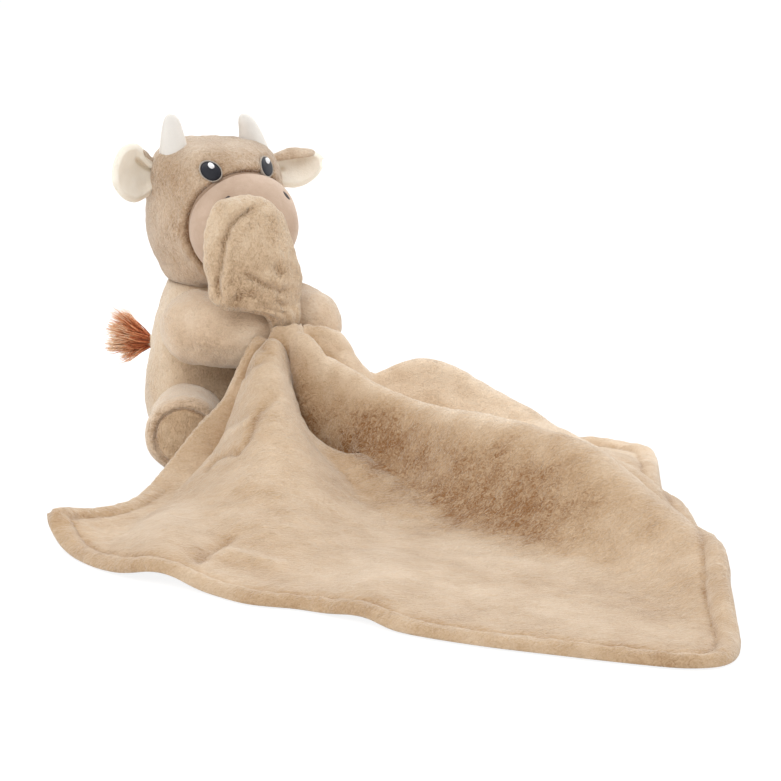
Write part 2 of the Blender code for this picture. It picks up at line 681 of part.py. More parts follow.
def build_ears(lovey, materials):
    ears = (
        ("left", 1.0, LEFT_EAR_ROOT_HEIGHT, LEFT_EAR_HALF_TALL),
        ("right", -1.0, RIGHT_EAR_ROOT_HEIGHT, RIGHT_EAR_HALF_TALL),
    )
    for side_name, side, height, half_tall in ears:
        place = Vector((side * EAR_ROOT_OUT, -EAR_ROOT_FORWARD, height))
        hinge = side_name + "_ear"
        lovey.hinge(hinge, place, "head")
        clears = []
        for index, angle in enumerate((-EAR_FLOP, 0.0, EAR_FLOP)):
            name = "%s_ear_clear_%d" % (side_name, index)
            mesh = head_form(name, GAP)
            mesh.transform(Matrix.Translation(-place))
            mesh.transform(Matrix.Rotation(math.radians(angle), 4, "Y"))
            mesh.transform(Matrix.Translation(place))
            clears.append(lovey.cutter(name, mesh, hinge))
        lining_mesh = ear_sheet(side_name + "_ear_lining", side, height, half_tall, EAR_INSET, 0.0)
        lining = lovey.piece(side_name + "_ear_lining", lining_mesh, materials["lining"], hinge)
        thicken(lining, EAR_LINING)
        cut(lining, *clears)
        behind = EAR_LINING * 1.35 + GAP
        back_mesh = ear_sheet(side_name + "_ear", side, height, half_tall, 0.0, behind)
        back = lovey.piece(side_name + "_ear", back_mesh, materials["head"], hinge)
        thicken(back, PLUSH)
        cut(back, *clears)


def build_horns(lovey, materials):
    seat = lovey.cutter("horn_seat", head_form("horn_seat", GAP), "head")
    horns = (("right", -1.0, RIGHT_HORN_LEAN), ("left", 1.0, LEFT_HORN_LEAN))
    for (side_name, side, lean), up_share in zip(horns, HORN_UP_SHARES):
        rings = []
        for long_share, radius_share in HORN_SHARES:
            out = HORN_OUT + lean * max(long_share, 0.0) ** 1.5
            height = HEAD_HEIGHT + HEAD_HALF_TALL * up_share + HORN_LONG * (long_share - 0.25)
            centre = Vector((side * out, -HORN_FORWARD, height))
            radius = HORN_RADIUS * radius_share
            ring = ring_round(centre, Vector((0.0, 0.0, 1.0)), radius, HORN_SIDES, Vector((0.0, 1.0, 0.0)))
            rings.append(ring)
        mesh = loft(side_name + "_horn", rings)
        horn = lovey.piece(side_name + "_horn", mesh, materials["horn"], "head")
        cut(horn, seat)


def build_arms(lovey, materials):
    body_clear = lovey.cutter("arm_seat", body_form("arm_seat", GAP))
    arms = {
        "left": (LEFT_SHOULDER, LEFT_ELBOW, LEFT_PAW),
        "right": (RIGHT_SHOULDER, RIGHT_ELBOW, RIGHT_PAW),
    }
    for side_name, points in arms.items():
        route = route_between(*points, count=6)

        def radii(grow):
            steps = len(route) - 1
            return [
                ARM_RADIUS + (PAW_RADIUS - ARM_RADIUS) * index / steps + grow
                for index in range(len(route))
            ]

        name = side_name + "_arm"
        hollow = sausage(name + "_hollow", route, radii(-PLUSH), ARM_SIDES)
        inside = lovey.cutter(name + "_hollow", hollow)
        skin_mesh = sausage(name + "_skin", route, radii(0.0), ARM_SIDES)
        skin = lovey.piece(name + "_skin", skin_mesh, materials["limb"])
        cut(skin, body_clear, inside)
        filling_mesh = sausage(name + "_filling", route, radii(-PLUSH - 2 * GAP), ARM_SIDES)
        filling = lovey.piece(name + "_filling", filling_mesh, materials["filling"])
        cut(filling, body_clear)


def hip_place(side):
    return Vector((side * HIP_OUT, -HIP_FORWARD, LEG_HEIGHT))


def leg_place(side, splay):
    """Turns a leg that was made along +Z to lie forward from its hip."""
    heading = Matrix.Rotation(math.radians(side * splay), 4, "Z")
    lie_down = Matrix.Rotation(math.radians(90.0), 4, "X")
    return Matrix.Translation(hip_place(side)) @ heading @ lie_down


def leg_profile(grow, sole_at):
    """Leg along +Z from the pole of the hip's ball to the sole."""
    profile = [(0.0, -HIP_RADIUS - grow)]
    for angle in (20.0, 42.0, 64.0, 84.0):
        bend = math.radians(angle)
        radius = HIP_RADIUS + grow
        profile.append((radius * math.sin(bend), -radius * math.cos(bend)))
    for long_share, radius_share in LEG_SHARES:
        profile.append((LEG_RADIUS * radius_share + grow, LEG_LONG * long_share))
    profile.append((FOOT_EDGE + grow, sole_at))
    profile.append((0.0, sole_at))
    return profile


def leg_sides(grow, start_at):
    """The straight part of a leg alone, with flat ends."""
    profile = [(0.0, start_at), (HIP_RADIUS + grow, start_at)]
    for long_share, radius_share in LEG_SHARES:
        profile.append((LEG_RADIUS * radius_share + grow, LEG_LONG * long_share))
    profile.append((0.0, LEG_LONG * LEG_SHARES[-1][0]))
    return profile


def build_legs(lovey, materials):
    floor = lovey.cutter("leg_floor_cut", floor_block("leg_floor_cut"))
    for side_name, side in (("left", 1.0), ("right", -1.0)):
        name = side_name + "_leg"
        lovey.hinge(name, hip_place(side))
        place = leg_place(side, LEG_SPLAY)
        half_step = place @ Matrix.Rotation(math.pi / LEG_STEPS, 4, "Z")
        skin_mesh = turned(name + "_skin", leg_profile(0.0, LEG_LONG), LEG_STEPS, place)
        skin = lovey.piece(name + "_skin", skin_mesh, materials["limb"], name)
        hollow_mesh = turned(name + "_hollow", leg_profile(-PLUSH, LEG_LONG - PLUSH), LEG_STEPS, place)
        hollow = lovey.cutter(name + "_hollow", hollow_mesh)
        opening_profile = [
            (0.0, LEG_LONG - PLUSH - OVERRUN), (SOLE_RADIUS, LEG_LONG - PLUSH - OVERRUN),
            (SOLE_RADIUS, LEG_LONG + OVERRUN), (0.0, LEG_LONG + OVERRUN),
        ]
        opening_mesh = turned(name + "_sole_opening", opening_profile, LEG_STEPS, half_step)
        opening = lovey.cutter(name + "_sole_opening", opening_mesh)
        cut(skin, hollow, opening, floor)
        filling_mesh = turned(
            name + "_filling", leg_profile(-PLUSH - GAP, LEG_LONG - PLUSH - GAP), LEG_STEPS, place
        )
        lovey.piece(name + "_filling", filling_mesh, materials["filling"], name)
        sole_radius = SOLE_RADIUS - GAP
        sole_profile = [
            (0.0, LEG_LONG - PLUSH), (sole_radius, LEG_LONG - PLUSH),
            (sole_radius, LEG_LONG - PLUSH / 2), (sole_radius * 0.92, LEG_LONG + SOLE_DOME / 3),
            (sole_radius * 0.6, LEG_LONG + SOLE_DOME * 0.85), (0.0, LEG_LONG + SOLE_DOME),
        ]
        sole_mesh = turned(side_name + "_foot_sole", sole_profile, LEG_STEPS, half_step)
        lovey.piece(side_name + "_foot_sole", sole_mesh, materials["sole"], name)


def tail_root():
    """Where the tail leaves the body's back, at the tail's height."""
    radius = body_radius_at(TAIL_HEIGHT)
    back = math.sqrt(radius ** 2 - TAIL_ROOT_OUT ** 2)
    return Vector((TAIL_ROOT_OUT, back, TAIL_HEIGHT))


def body_radius_at(height):
    share = height / BODY_TALL
    for low, high in zip(BODY_SHARES, BODY_SHARES[1:]):
        if low[0] <= share <= high[0]:
            mix = (share - low[0]) / (high[0] - low[0])
            return BODY_RADIUS * (low[1] + (high[1] - low[1]) * mix)
    return BODY_RADIUS


def build_tail(lovey, materials):
    root = tail_root()
    lovey.hinge("tail", root)
    angle = math.radians(360.0 - TAIL_HEADING)
    heading = Vector((math.cos(angle), math.sin(angle), 0.0))
    clears = []
    for index, swing in enumerate((-TAIL_SWING_BACK, -TAIL_SWING_BACK / 2, 0.0, TAIL_SWING_IN)):
        name = "tail_clear_%d" % index
        mesh = body_form(name, GAP)
        mesh.transform(Matrix.Translation(-root))
        mesh.transform(Matrix.Rotation(math.radians(-swing), 4, "Z"))
        mesh.transform(Matrix.Translation(root))
        clears.append(lovey.cutter(name, mesh))
    upright = Vector((0.0, 0.0, 1.0))
    stem_rings = []
    steps = 5
    start = -TAIL_STEM_RADIUS
    for index in range(steps + 1):
        along = start + (TAIL_STEM_LONG - start) * index / steps
        centre = root + heading * along
        stem_rings.append(ring_round(centre, heading, TAIL_STEM_RADIUS, 12, upright))
    stem = lovey.piece("tail_stem", loft("tail_stem", stem_rings), materials["tail"], "tail")
    cut(stem, *clears)
    tuft_rings = []
    sides = TUFT_LOCKS * 4
    side_way = heading.cross(upright)
    for long_share, radius_share, cut_share in TUFT_SHARES:
        ring = []
        for index in range(sides):
            turn = math.tau * index / sides
            lock = (1.0 - math.cos(turn * TUFT_LOCKS)) / 2
            radius = TUFT_RADIUS * radius_share * (1.0 - cut_share * lock)
            along = TUFT_LONG * long_share * (1.0 - 0.35 * cut_share * lock)
            drift = TUFT_LONG * 0.10 * long_share * math.sin(turn * 2 + long_share)
            point = root + heading * (TAIL_STEM_LONG + GAP + along + drift * long_share)
            point = point + side_way * radius * 0.85 * math.cos(turn)
            point = point + upright * radius * math.sin(turn)
            ring.append(point)
        tuft_rings.append(ring)
    lovey.piece("tail_tuft", loft("tail_tuft", tuft_rings), materials["tuft"], "tail")


def smooth_route(points, count):
    """Evenly spaced points on a smooth curve through a list of points."""
    dense = []
    last = len(points) - 1
    for index in range(last):
        before = points[max(index - 1, 0)]
        here = points[index]
        after = points[index + 1]
        beyond = points[min(index + 2, last)]
        for step in range(8):
            mix = step / 8
            dense.append(blend_four(before, here, after, beyond, mix))
    dense.append(points[-1].copy())
    lengths = [0.0]
    for one, two in zip(dense, dense[1:]):
        lengths.append(lengths[-1] + (two - one).length)
    spaced = []
    cursor = 0
    for index in range(count + 1):
        target = lengths[-1] * index / count
        while cursor < len(lengths) - 2 and lengths[cursor + 1] < target:
            cursor += 1
        span = lengths[cursor + 1] - lengths[cursor]
        mix = (target - lengths[cursor]) / span if span > 0 else 0.0
        spaced.append(dense[cursor].lerp(dense[cursor + 1], mix))
    return spaced


def blend_four(before, here, after, beyond, mix):
    """Point between the middle two of four, on a curve that passes through them."""
    first = (after - before) / 2
    second = (beyond - here) / 2
    square, cube = mix ** 2, mix ** 3
    return (
        here * (2 * cube - 3 * square + 1)
        + first * (cube - 2 * square + mix)
        + after * (3 * square - 2 * cube)
        + second * (cube - square)
    )


def on_blanket(out_share, forward_share, height_share=0.0):
    """Place on the blanket from its shares, with the gather as their origin."""
    return Vector((
        GATHER_OUT + BLANKET_SIDE * out_share,
        -GATHER_FORWARD - BLANKET_SIDE * forward_share,
        GATHER_HEIGHT * height_share,
    ))


def fold_routes():
    routes = []
    for rows in FOLD_SHARES.values():
        routes.append([
            (on_blanket(out, forward, height), BLANKET_SIDE * width)
            for out, forward, height, width in rows
        ])
    for rows in (RIGHT_EDGE_SHARES, LEFT_EDGE_SHARES):
        edge = [(on_blanket(0.0, 0.0, 1.0), EDGE_FOLD_WIDTH)]
        for out, forward, height in rows:
            edge.append((on_blanket(out, forward, height), EDGE_FOLD_WIDTH))
        routes.append(edge)
    return routes


def fold_height(x, y, routes):
    """Height of the cloth: each fold is a rounded ridge, and the folds merge smoothly."""
    above = 0.0
    below = 0.0
    for route in routes:
        best = None
        for (start, start_width), (end, end_width) in zip(route, route[1:]):
            dx, dy = end.x - start.x, end.y - start.y
            span = dx * dx + dy * dy
            mix = ((x - start.x) * dx + (y - start.y) * dy) / span
            mix = max(0.0, min(1.0, mix))
            away = math.hypot(x - start.x - dx * mix, y - start.y - dy * mix)
            height = start.z + (end.z - start.z) * mix
            width = start_width + (end_width - start_width) * mix
            raised = height * math.exp(-((away / width) ** FOLD_POWER))
            if best is None or raised > best:
                best = raised
        above += best ** FOLD_BLEND_POWER
        below += best ** (FOLD_BLEND_POWER - 1.0)
    height = above / below if below > 0 else 0.0
    return height if height > STITCH_SINK else 0.0


def blanket_grid():
    """Rows of points from the gather to the hem, one row for each ray."""
    start = on_blanket(0.0, 0.0)
    right_edge = [on_blanket(*row) for row in RIGHT_EDGE_SHARES]
    left_edge = [on_blanket(*row) for row in LEFT_EDGE_SHARES]
    hem = smooth_route([on_blanket(*row) for row in HEM_SHARES], RAYS)
    routes = fold_routes()
    edges = []
    for edge, corner in ((right_edge, hem[0]), (left_edge, hem[-1])):
        flat_points = [Vector((point.x, point.y, 0.0)) for point in [start] + edge]
        flat_points[-1] = corner.copy()
        edges.append(smooth_route(flat_points, 60))
    rows = []
    for ray, target in enumerate(hem):
        turn = ray / RAYS
        row = []
        for along in ray_stations((target - start).length):
            straight = start.lerp(target, along)
            point = straight.copy()
            for edge, near in ((edges[0], (1.0 - turn) ** EDGE_HOLD_POWER), (edges[1], turn ** EDGE_HOLD_POWER)):
                exact = edge[0].lerp(edge[-1], along)
                cursor = along * 60
                low = min(int(cursor), 59)
                bent = edge[low].lerp(edge[low + 1], cursor - low)
                point = point + (bent - exact) * near
            point.z = fold_height(point.x, point.y, routes)
            row.append(point)
        rows.append(row)
    return rows


def ray_stations(length):
    """Shares along a ray: crowded at the gather, with one on the line of topstitching."""
    first = GATHER_RADIUS / length
    hem_share = HEM_WIDTH / length
    inner = []
    for index in range(RINGS - 1):
        share = index / (RINGS - 2)
        inner.append(first + (1.0 - 2 * hem_share - first) * share ** GATHER_CROWDING_POWER)
    return inner + [1.0 - hem_share, 1.0]


def build_panel(lovey, name, material, rows, under):
    """One plush panel. The upper one lies on the lower, a clearance away."""
    bm = bmesh.new()
    verts = [[bm.verts.new(point) for point in row] for row in rows]
    for near, far in zip(verts, verts[1:]):
        for index in range(len(near) - 1):
            bm.faces.new((near[index], near[index + 1], far[index + 1], far[index]))
    bm.normal_update()
    if sum(face.normal.z for face in bm.faces) < 0:
        bmesh.ops.reverse_faces(bm, faces=bm.faces)
        bm.normal_update()
    if not under:
        shifts = {vert: vert.normal * (PANEL + GAP) for vert in bm.verts}
        for vert, shift in shifts.items():
            vert.co += shift
    mesh = bpy.data.meshes.new(name)
    bm.to_mesh(mesh)
    bm.free()
    panel = lovey.piece(name, mesh, material)
    thicken(panel, PANEL)
    return panel


def build_blanket(lovey, materials):
    rows = blanket_grid()
    build_panel(lovey, "blanket_under_panel", materials["blanket"], rows, True)
    build_panel(lovey, "blanket_upper_panel", materials["blanket"], rows, False)


def build_corner(lovey, materials):
    """Held corner, wrapped on a cylinder round the neck's axis."""
    base = GATHER_HEIGHT + 2 * PANEL + 3 * GAP
    rings = []
    for tall_share, right_share, left_share, thick_share, off_share in CORNER_SHARES:
        middle = CORNER_WIDE * (left_share + right_share) / 2
        half = CORNER_WIDE * (left_share - right_share) / 2
        thick = CORNER_THICK * thick_share
        back = CORNER_STAND_OFF + CORNER_THICK * off_share
        ring = []
        for index in range(CORNER_SIDES):
            turn = math.tau * index / CORNER_SIDES
            across = math.cos(turn)
            out = math.sin(turn)
            arc = (middle + half * across) / (CORNER_STAND_OFF + CORNER_THICK / 2)
            radius = back + thick * (1.0 + out) / 2
            ring.append(Vector((
                radius * math.sin(arc),
                -radius * math.cos(arc),
                base + CORNER_TALL * tall_share,
            )))
        rings.append(ring)
    lovey.piece("blanket_corner", loft("blanket_corner", rings), materials["blanket"])


def main():
    clear_scene()
    lovey = Lovey()
    materials = {
        "body": cloth("plush_body", BEIGE),
        "head": cloth("plush_head", BEIGE),
        "limb": cloth("plush_limb", SAND),
        "sole": cloth("plush_sole", BEIGE),
        "muzzle": cloth("velour_muzzle", ROSE_BEIGE, 0.8),
        "lining": cloth("ear_lining", CREAM),
        "horn": cloth("horn_velour", OFF_WHITE, 0.75),
        "eye": cloth("dark_thread", NEAR_BLACK, 0.35),
        "eye_rim": cloth("pale_thread", PALE_THREAD, 0.6),
        "glint": cloth("white_thread", OFF_WHITE, 0.5),
        "tail": cloth("tail_plush", CREAM),
        "tuft": cloth("rust_pile", RUST, 0.7),
        "blanket": cloth("blanket_plush", SAND),
        "filling": cloth("polyester_filling", POLYFILL),
    }
    build_body(lovey, materials)
    build_head(lovey, materials)
    build_face(lovey, materials)
    build_ears(lovey, materials)
    build_horns(lovey, materials)
    build_arms(lovey, materials)
    build_legs(lovey, materials)
    build_tail(lovey, materials)
    build_blanket(lovey, materials)
    build_corner(lovey, materials)


main()
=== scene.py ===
"""Looks of the comfort blanket lovey: plush, velour, embroidery, the draped blanket and its held corner."""
import math

import bpy
import numpy as np
from mathutils import Matrix, Vector, noise
from mathutils.geometry import interpolate_bezier


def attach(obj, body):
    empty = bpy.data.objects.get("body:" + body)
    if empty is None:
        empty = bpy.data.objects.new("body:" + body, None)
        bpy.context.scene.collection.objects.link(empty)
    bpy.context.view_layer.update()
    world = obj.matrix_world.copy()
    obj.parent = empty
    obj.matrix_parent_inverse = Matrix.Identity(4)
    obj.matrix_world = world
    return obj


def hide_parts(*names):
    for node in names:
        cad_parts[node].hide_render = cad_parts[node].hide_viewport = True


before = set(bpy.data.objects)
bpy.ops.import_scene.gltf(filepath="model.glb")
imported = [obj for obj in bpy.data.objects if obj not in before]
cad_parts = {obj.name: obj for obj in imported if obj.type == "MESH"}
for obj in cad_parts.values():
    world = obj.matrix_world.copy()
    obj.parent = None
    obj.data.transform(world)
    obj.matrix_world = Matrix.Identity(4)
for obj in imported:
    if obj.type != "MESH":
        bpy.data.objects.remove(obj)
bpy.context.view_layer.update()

# Sizes of the CAD part, in metres and degrees, and its outlines, in shares of them
PLUSH, GAP = 0.002, 0.0003
BODY_RADIUS, BODY_TALL, NECK_HEIGHT, BODY_FLAT_RADIUS = 0.036, 0.098, 0.086, 0.023
BODY_SHARES = (
    (0.05, 0.83), (0.12, 0.95), (0.22, 1), (0.34, 0.99), (0.48, 0.94), (0.62, 0.87), (0.74, 0.79),
    (0.84, 0.68), (0.93, 0.5),
)
HEAD_HALF = np.array((0.035, 0.037, 0.0395))
HEAD_CENTRE = np.array((0, -0.003, 0.12))
HEAD_TOP_POWER, HEAD_LOW_POWER, HEAD_HEADING = 3.6, 2.15, 6.5
MUZZLE_HALF = np.array((0.0285, 0.0275, 0.028))
MUZZLE_CENTRE = np.array((0, -0.0335, 0.1187))
EYE_OUT = HEAD_HALF[0] * 0.449
EYE_HEIGHT = HEAD_CENTRE[2] + HEAD_HALF[2] * 0.696
EYE_HALF_WIDTH, EYE_HALF_TALL, EYE_RIM, EYE_SHIFT = 0.0044, 0.0047, 0.0005, 0.001
NOSTRIL_OUT = MUZZLE_HALF[0] * 0.59 + 0.0006
NOSTRIL_HEIGHT = MUZZLE_CENTRE[2] + MUZZLE_HALF[2] * 0.636 - 0.0018
EAR_ROOT_OUT, EAR_ROOT_FORWARD = HEAD_HALF[0] * 0.943, 0.001
RIGHT_EAR_ROOT_HEIGHT = HEAD_CENTRE[2] + HEAD_HALF[2] * 0.608
LEFT_EAR_ROOT_HEIGHT = HEAD_CENTRE[2] + HEAD_HALF[2] * 0.532
EAR_LONG, RIGHT_EAR_HALF_TALL, LEFT_EAR_HALF_TALL = 0.0265, 0.0138, 0.0105
EAR_CUP, EAR_SWEEP, EAR_RISE = 0.0065, 0.01, 0.003
EAR_SHARES = (
    (-0.12, 0.52), (0.06, 0.66), (0.24, 0.88), (0.46, 1), (0.66, 0.95), (0.83, 0.76), (0.94, 0.5),
    (1, 0.22),
)
HORN_OUT, HORN_FORWARD, HORN_LONG, HORN_RADIUS = HEAD_HALF[0] * 0.67, 0.0045, 0.0235, 0.0078
HORN_UP_SHARES = {"right": 0.92, "left": 0.86}
HORN_LEANS = {"right": 0.0015, "left": -0.0065}
HORN_SHARES = (
    (-0.12, 1), (0, 1), (0.22, 0.97), (0.45, 0.84), (0.66, 0.69), (0.8, 0.58), (0.9, 0.44), (0.965, 0.26),
)
ARM_RADIUS, PAW_RADIUS = 0.019, 0.0172
ARMS = {
    "right": ((-0.021, -0.0315, 0.0675), (-0.0125, -0.041, 0.0665), (0.0003, -0.0507, 0.065)),
    "left": ((0.0285, -0.0175, 0.0685), (0.0325, -0.0315, 0.068), (0.0345, -0.045, 0.0675)),
}
HIP_OUT, HIP_FORWARD, HIP_RADIUS, LEG_HEIGHT = 0.0205, 0.018, 0.017, 0.0195
LEG_LONG, LEG_RADIUS, LEG_SPLAY, SOLE_RADIUS, FOOT_EDGE = 0.051, 0.02, 24, 0.015, 0.0178
LEG_SHARES = (
    (0.12, 0.9), (0.3, 0.96), (0.5, 0.99), (0.7, 0.98), (0.86, 1), (0.95, 0.96),
)
TAIL_ROOT_OUT, TAIL_HEIGHT, TAIL_STEM_LONG, TAIL_STEM_RADIUS = -0.008, 0.047, 0.015, 0.0034
TAIL_HEADING, TUFT_LONG, TUFT_RADIUS = 205, 0.0215, 0.0112
BLANKET_SIDE, PANEL = 0.34, 0.0017
GATHER = np.array((0.012, -0.068, 0.077))
GATHER_RADIUS, EDGE_FOLD_WIDTH, FOLD_POWER, FOLD_BLEND_POWER = 0.005, 0.0165, 1.9, 5
EDGE_HOLD_POWER = 5
# The blanket's edges, hem and folds in shares of its side: out, forward, and up in shares of the gather
RIGHT_EDGE = (
    (-0.045, 0, 0.92), (-0.074, 0.012, 0.76), (-0.1, 0.024, 0.55), (-0.152, 0.041, 0.38),
    (-0.215, 0.076, 0.19), (-0.262, 0.116, 0.08), (-0.315, 0.165, 0.06), (-0.365, 0.19, 0.07),
    (-0.418, 0.206, 0.1), (-0.452, 0.236, 0.16),
)
LEFT_EDGE = (
    (0.05, 0, 0.8), (0.112, -0.012, 0.6), (0.185, -0.02, 0.46), (0.253, 0.006, 0.36), (0.318, 0.041, 0.2),
    (0.406, 0.085, 0.08), (0.47, 0.14, 0.06), (0.5, 0.19, 0.06),
)
HEM = (
    (-0.452, 0.236), (-0.456, 0.262), (-0.451, 0.31), (-0.438, 0.39), (-0.404, 0.47), (-0.352, 0.552),
    (-0.318, 0.624), (-0.268, 0.672), (-0.228, 0.736), (-0.19, 0.816), (-0.132, 0.894), (-0.06, 0.97),
    (0.004, 1.034), (0.052, 1.074), (0.096, 1.084), (0.134, 1.056), (0.172, 0.992), (0.208, 0.918),
    (0.259, 0.82), (0.332, 0.63), (0.406, 0.424), (0.456, 0.32), (0.492, 0.252), (0.506, 0.218),
    (0.5, 0.19),
)
# Crest lines of the folds, each row with the fold's half width too
FOLDS = (
    ((0, 0, 1.05, 0.034), (0, 0.016, 1.075, 0.034), (0.009, 0.03, 1.01, 0.033), (0.026, 0.058, 0.81, 0.033),
     (0.053, 0.085, 0.71, 0.04), (0.106, 0.203, 0.6, 0.052), (0.147, 0.335, 0.59, 0.06),
     (0.194, 0.453, 0.6, 0.07), (0.222, 0.576, 0.48, 0.068), (0.238, 0.7, 0.31, 0.06),
     (0.23, 0.859, 0.19, 0.054), (0.196, 0.96, 0.12, 0.044)),
    ((0, 0, 1, 0.03), (-0.022, 0.025, 1, 0.032), (-0.054, 0.056, 0.87, 0.046), (-0.08, 0.13, 0.6, 0.072),
     (-0.118, 0.218, 0.38, 0.09), (-0.168, 0.32, 0.2, 0.09), (-0.212, 0.424, 0.09, 0.08)),
    ((0, 0, 1, 0.032), (0.068, 0.018, 0.91, 0.032), (0.1, 0.026, 0.7, 0.036), (0.13, 0.032, 0.57, 0.044),
     (0.206, 0.056, 0.67, 0.066), (0.274, 0.115, 0.49, 0.07), (0.332, 0.188, 0.28, 0.06),
     (0.406, 0.247, 0.1, 0.05)),
    ((0.27, 0.27, 0.34, 0.052), (0.312, 0.4, 0.3, 0.05), (0.318, 0.54, 0.2, 0.046),
     (0.3, 0.68, 0.08, 0.04)),
    ((-0.22, 0.2, 0.05, 0.04), (-0.29, 0.3, 0.13, 0.04), (-0.345, 0.42, 0.15, 0.04),
     (-0.385, 0.5, 0.09, 0.034)),
    ((-0.06, 0.125, 0.38, 0.052), (-0.025, 0.148, 0.34, 0.058), (0.015, 0.18, 0.255, 0.062),
     (0.055, 0.265, 0.16, 0.075), (0.09, 0.36, 0.09, 0.07)),
    ((-0.1, 0.56, 0.05, 0.04), (-0.165, 0.68, 0.08, 0.036), (-0.215, 0.75, 0.05, 0.03)),
)
CORNER_STAND_OFF, CORNER_TALL, CORNER_WIDE, CORNER_THICK = 0.0612, 0.057, 0.05, 0.015
# The held corner: up, right and left edge, thickness, and how far off the muzzle
CORNER_SHARES = (
    (-0.2, 0.1, 0.42, 0.5, 0.16), (-0.12, 0.08, 0.42, 0.7, 0.08), (-0.05, 0.02, 0.425, 0.82, 0.06),
    (0, -0.12, 0.432, 0.86, 0.03), (0.04, -0.36, 0.442, 0.88, 0), (0.08, -0.47, 0.452, 0.92, 0),
    (0.14, -0.53, 0.46, 0.96, 0), (0.28, -0.56, 0.44, 1, 0), (0.46, -0.59, 0.39, 1, 0),
    (0.64, -0.59, 0.33, 0.94, 0), (0.8, -0.56, 0.26, 0.84, 0), (0.92, -0.5, 0.15, 0.7, 0),
    (0.98, -0.42, 0.04, 0.52, 0),
)
# What lies on the cloth, in millimetres
MM = 0.001
# Creases in the blanket: places on the floor plan, half width, and depth (a ridge is negative)
CREASES = (
    (((5.8, -70), (6.6, -80), (7.4, -90), (9.2, -101), (12.5, -111), (18, -121)), 5, 6),
    (((8, -96), (12.5, -111), (18, -121), (26, -131)), 8.5, 5.5),
    (((18.5, -71.5), (25, -79), (33, -86), (42, -91), (54, -96)), 2.6, 6.8),
    (((13.5, -73), (17.5, -82), (24, -90)), 1.6, 1.4),
    (((24, -70), (31, -73.5), (39, -76.5)), 1.6, 1.4),
    (((1, -74), (-4, -82), (-7, -92)), 1.8, 1.2),
    (((-13, -76.7), (-11.6, -89.2), (-7.6, -93.7)), 2.2, 1.8),
    (((-10.5, -106), (-12.7, -109.5), (-21.9, -118.8), (-28.8, -127.7), (-36.5, -133.8)), 2.4, 2.2),
    (((-32.4, -100.5), (-30.1, -114.3), (-24.8, -120.7)), 3, -1.8),
    (((-50.9, -127.1), (-45.6, -117.7), (-41.1, -122), (-38, -128.5), (-36.3, -137)), 2.6, 2.6),
    (((-105.9, -235), (-93.9, -224.7), (-81.9, -214.9), (-70.4, -206.7)), 3.5, 2.6),
    (((-96, -230), (-84.6, -225), (-75.5, -238), (-63.4, -256)), 6, -3),
)
# Painted light and shade on the cloth: where it darkens, painted shade, as on the big ridge's front face and
# in the pocket between the folds; where it pales, painted highlights on crests and grazing slopes. Places on
# the floor plan, half width, and how much paler or darker
PAINTED_LIGHT_AND_SHADE = (
    (((29, -133), (38, -165), (44, -200), (50, -235), (56, -270)), 19, -0.8),
    (((8.5, -90), (12, -101), (16, -108)), 7.5, -0.95),
    (((13, -90), (19, -108), (25, -123)), 10, -0.35),
    (((24.5, -73.5), (30, -77.5), (37, -81.5)), 2.8, -1),
    (((18, -80), (30.3, -100.3), (44, -126), (58.9, -173.1), (65, -200)), 8.5, 0.75),
    (((28, -72), (45, -77), (76.2, -88), (88.1, -96), (104, -112), (128.1, -140)), 15, 0.95),
    (((-1, -85), (-6, -100), (-14, -115)), 9, 0.45),
    (((165, -125), (185, -150)), 16, 1),
    (((-90, -225), (-80, -235)), 13, -0.5),
    (((60, -125), (70, -180), (80, -220)), 12, 0.35),
    (((-30, -100), (-50, -150), (-30, -220), (30, -320)), 40, 0.15),
)
# Creases in the held corner: places, half width, depth
CORNER_CREASES = (
    (((1, -70.5, 134.5), (-8, -70.5, 133), (-13.5, -70.1, 130), (-18.1, -69.5, 125.5), (-21.2, -68.2, 118),
     (-23.1, -69.1, 105.6), (-24.3, -69, 95), (-22.2, -69, 86)), 1.1, 1.9),
    (((-15, -74.5, 104), (-7.1, -75.2, 98.2), (-1.3, -75.5, 95.2), (6.2, -75.4, 91.7), (14, -73, 91.5)),
     1.7, 1.9),
    (((2, -75.6, 105), (5.5, -76, 102.2), (8.4, -75.5, 99)), 2.4, 1.6),
    (((-14, -73.3, 115.4), (-17.5, -72.7, 112.6), (-20.6, -72.2, 109.2)), 1.2, 0.8),
    (((-18, -72, 89), (-12.1, -74.3, 90.9), (-3, -75.5, 88.5)), 1.5, 0.9),
    (((4, -75, 88), (9, -74.5, 84), (11, -74.5, 79)), 1.5, 1.2),
)
# Thickness of the sewn hem at each distance in from its edge, and where its line of stitches lies
HEM_PROFILE = (
    (0, 1.3), (1.2, 3.4), (3, 4.8), (5, 5.2), (7.2, 4.8), (8.8, 3.6), (9.8, 2.8), (10.8, 3.2), (13, 4),
    (16.5, 4.4), (23, 4.3),
)
STITCH_LINE = 9.8
# Seam on the muzzle's side, and the shaded hollow on the front of the corner
MUZZLE_DART = ((-0.0285, -0.03, 0.1215), (-0.024, -0.047, 0.1265), (-0.0175, -0.0555, 0.13))
CORNER_SHADE, CORNER_SHADE_SIZE = (-0.015, -0.074, 0.0935), (0.01, 0.02, 0.01)

# The axes that a path is laid out on, and the calf's two sides
FLOOR_PLAN, FROM_FRONT = (0, 1), (0, 2)
SIDES = (("left", 1), ("right", -1))

# Sizes that only the look has
CAMERA_PLACE, CAMERA_AZIMUTH, CAMERA_ELEVATION = (-0.5315, -1.3585, 0.3623), -25, 13
CAMERA_LENS, CAMERA_SENSOR = 131.37, 36
FLOOR_REACH, FLOOR_HEIGHT = 9, -0.0002
# How deep the lumps of the filling and of the pile are
LUMP, GRAIN_LUMP = 0.0006, 0.00022
STRANDS, LOCKS, STRAND_STEPS, STRAND_RADIUS = 1000, 13, 7, 0.00034
ROUNDING_PASSES, EVEN_PASSES, EVEN_REACH = 12, 150, 0.08
CLOTH_THICK, HEM_ROLL = 0.004, 0.0012


# Shapes
def clamp(values):
    return np.clip(values, 0, 1)


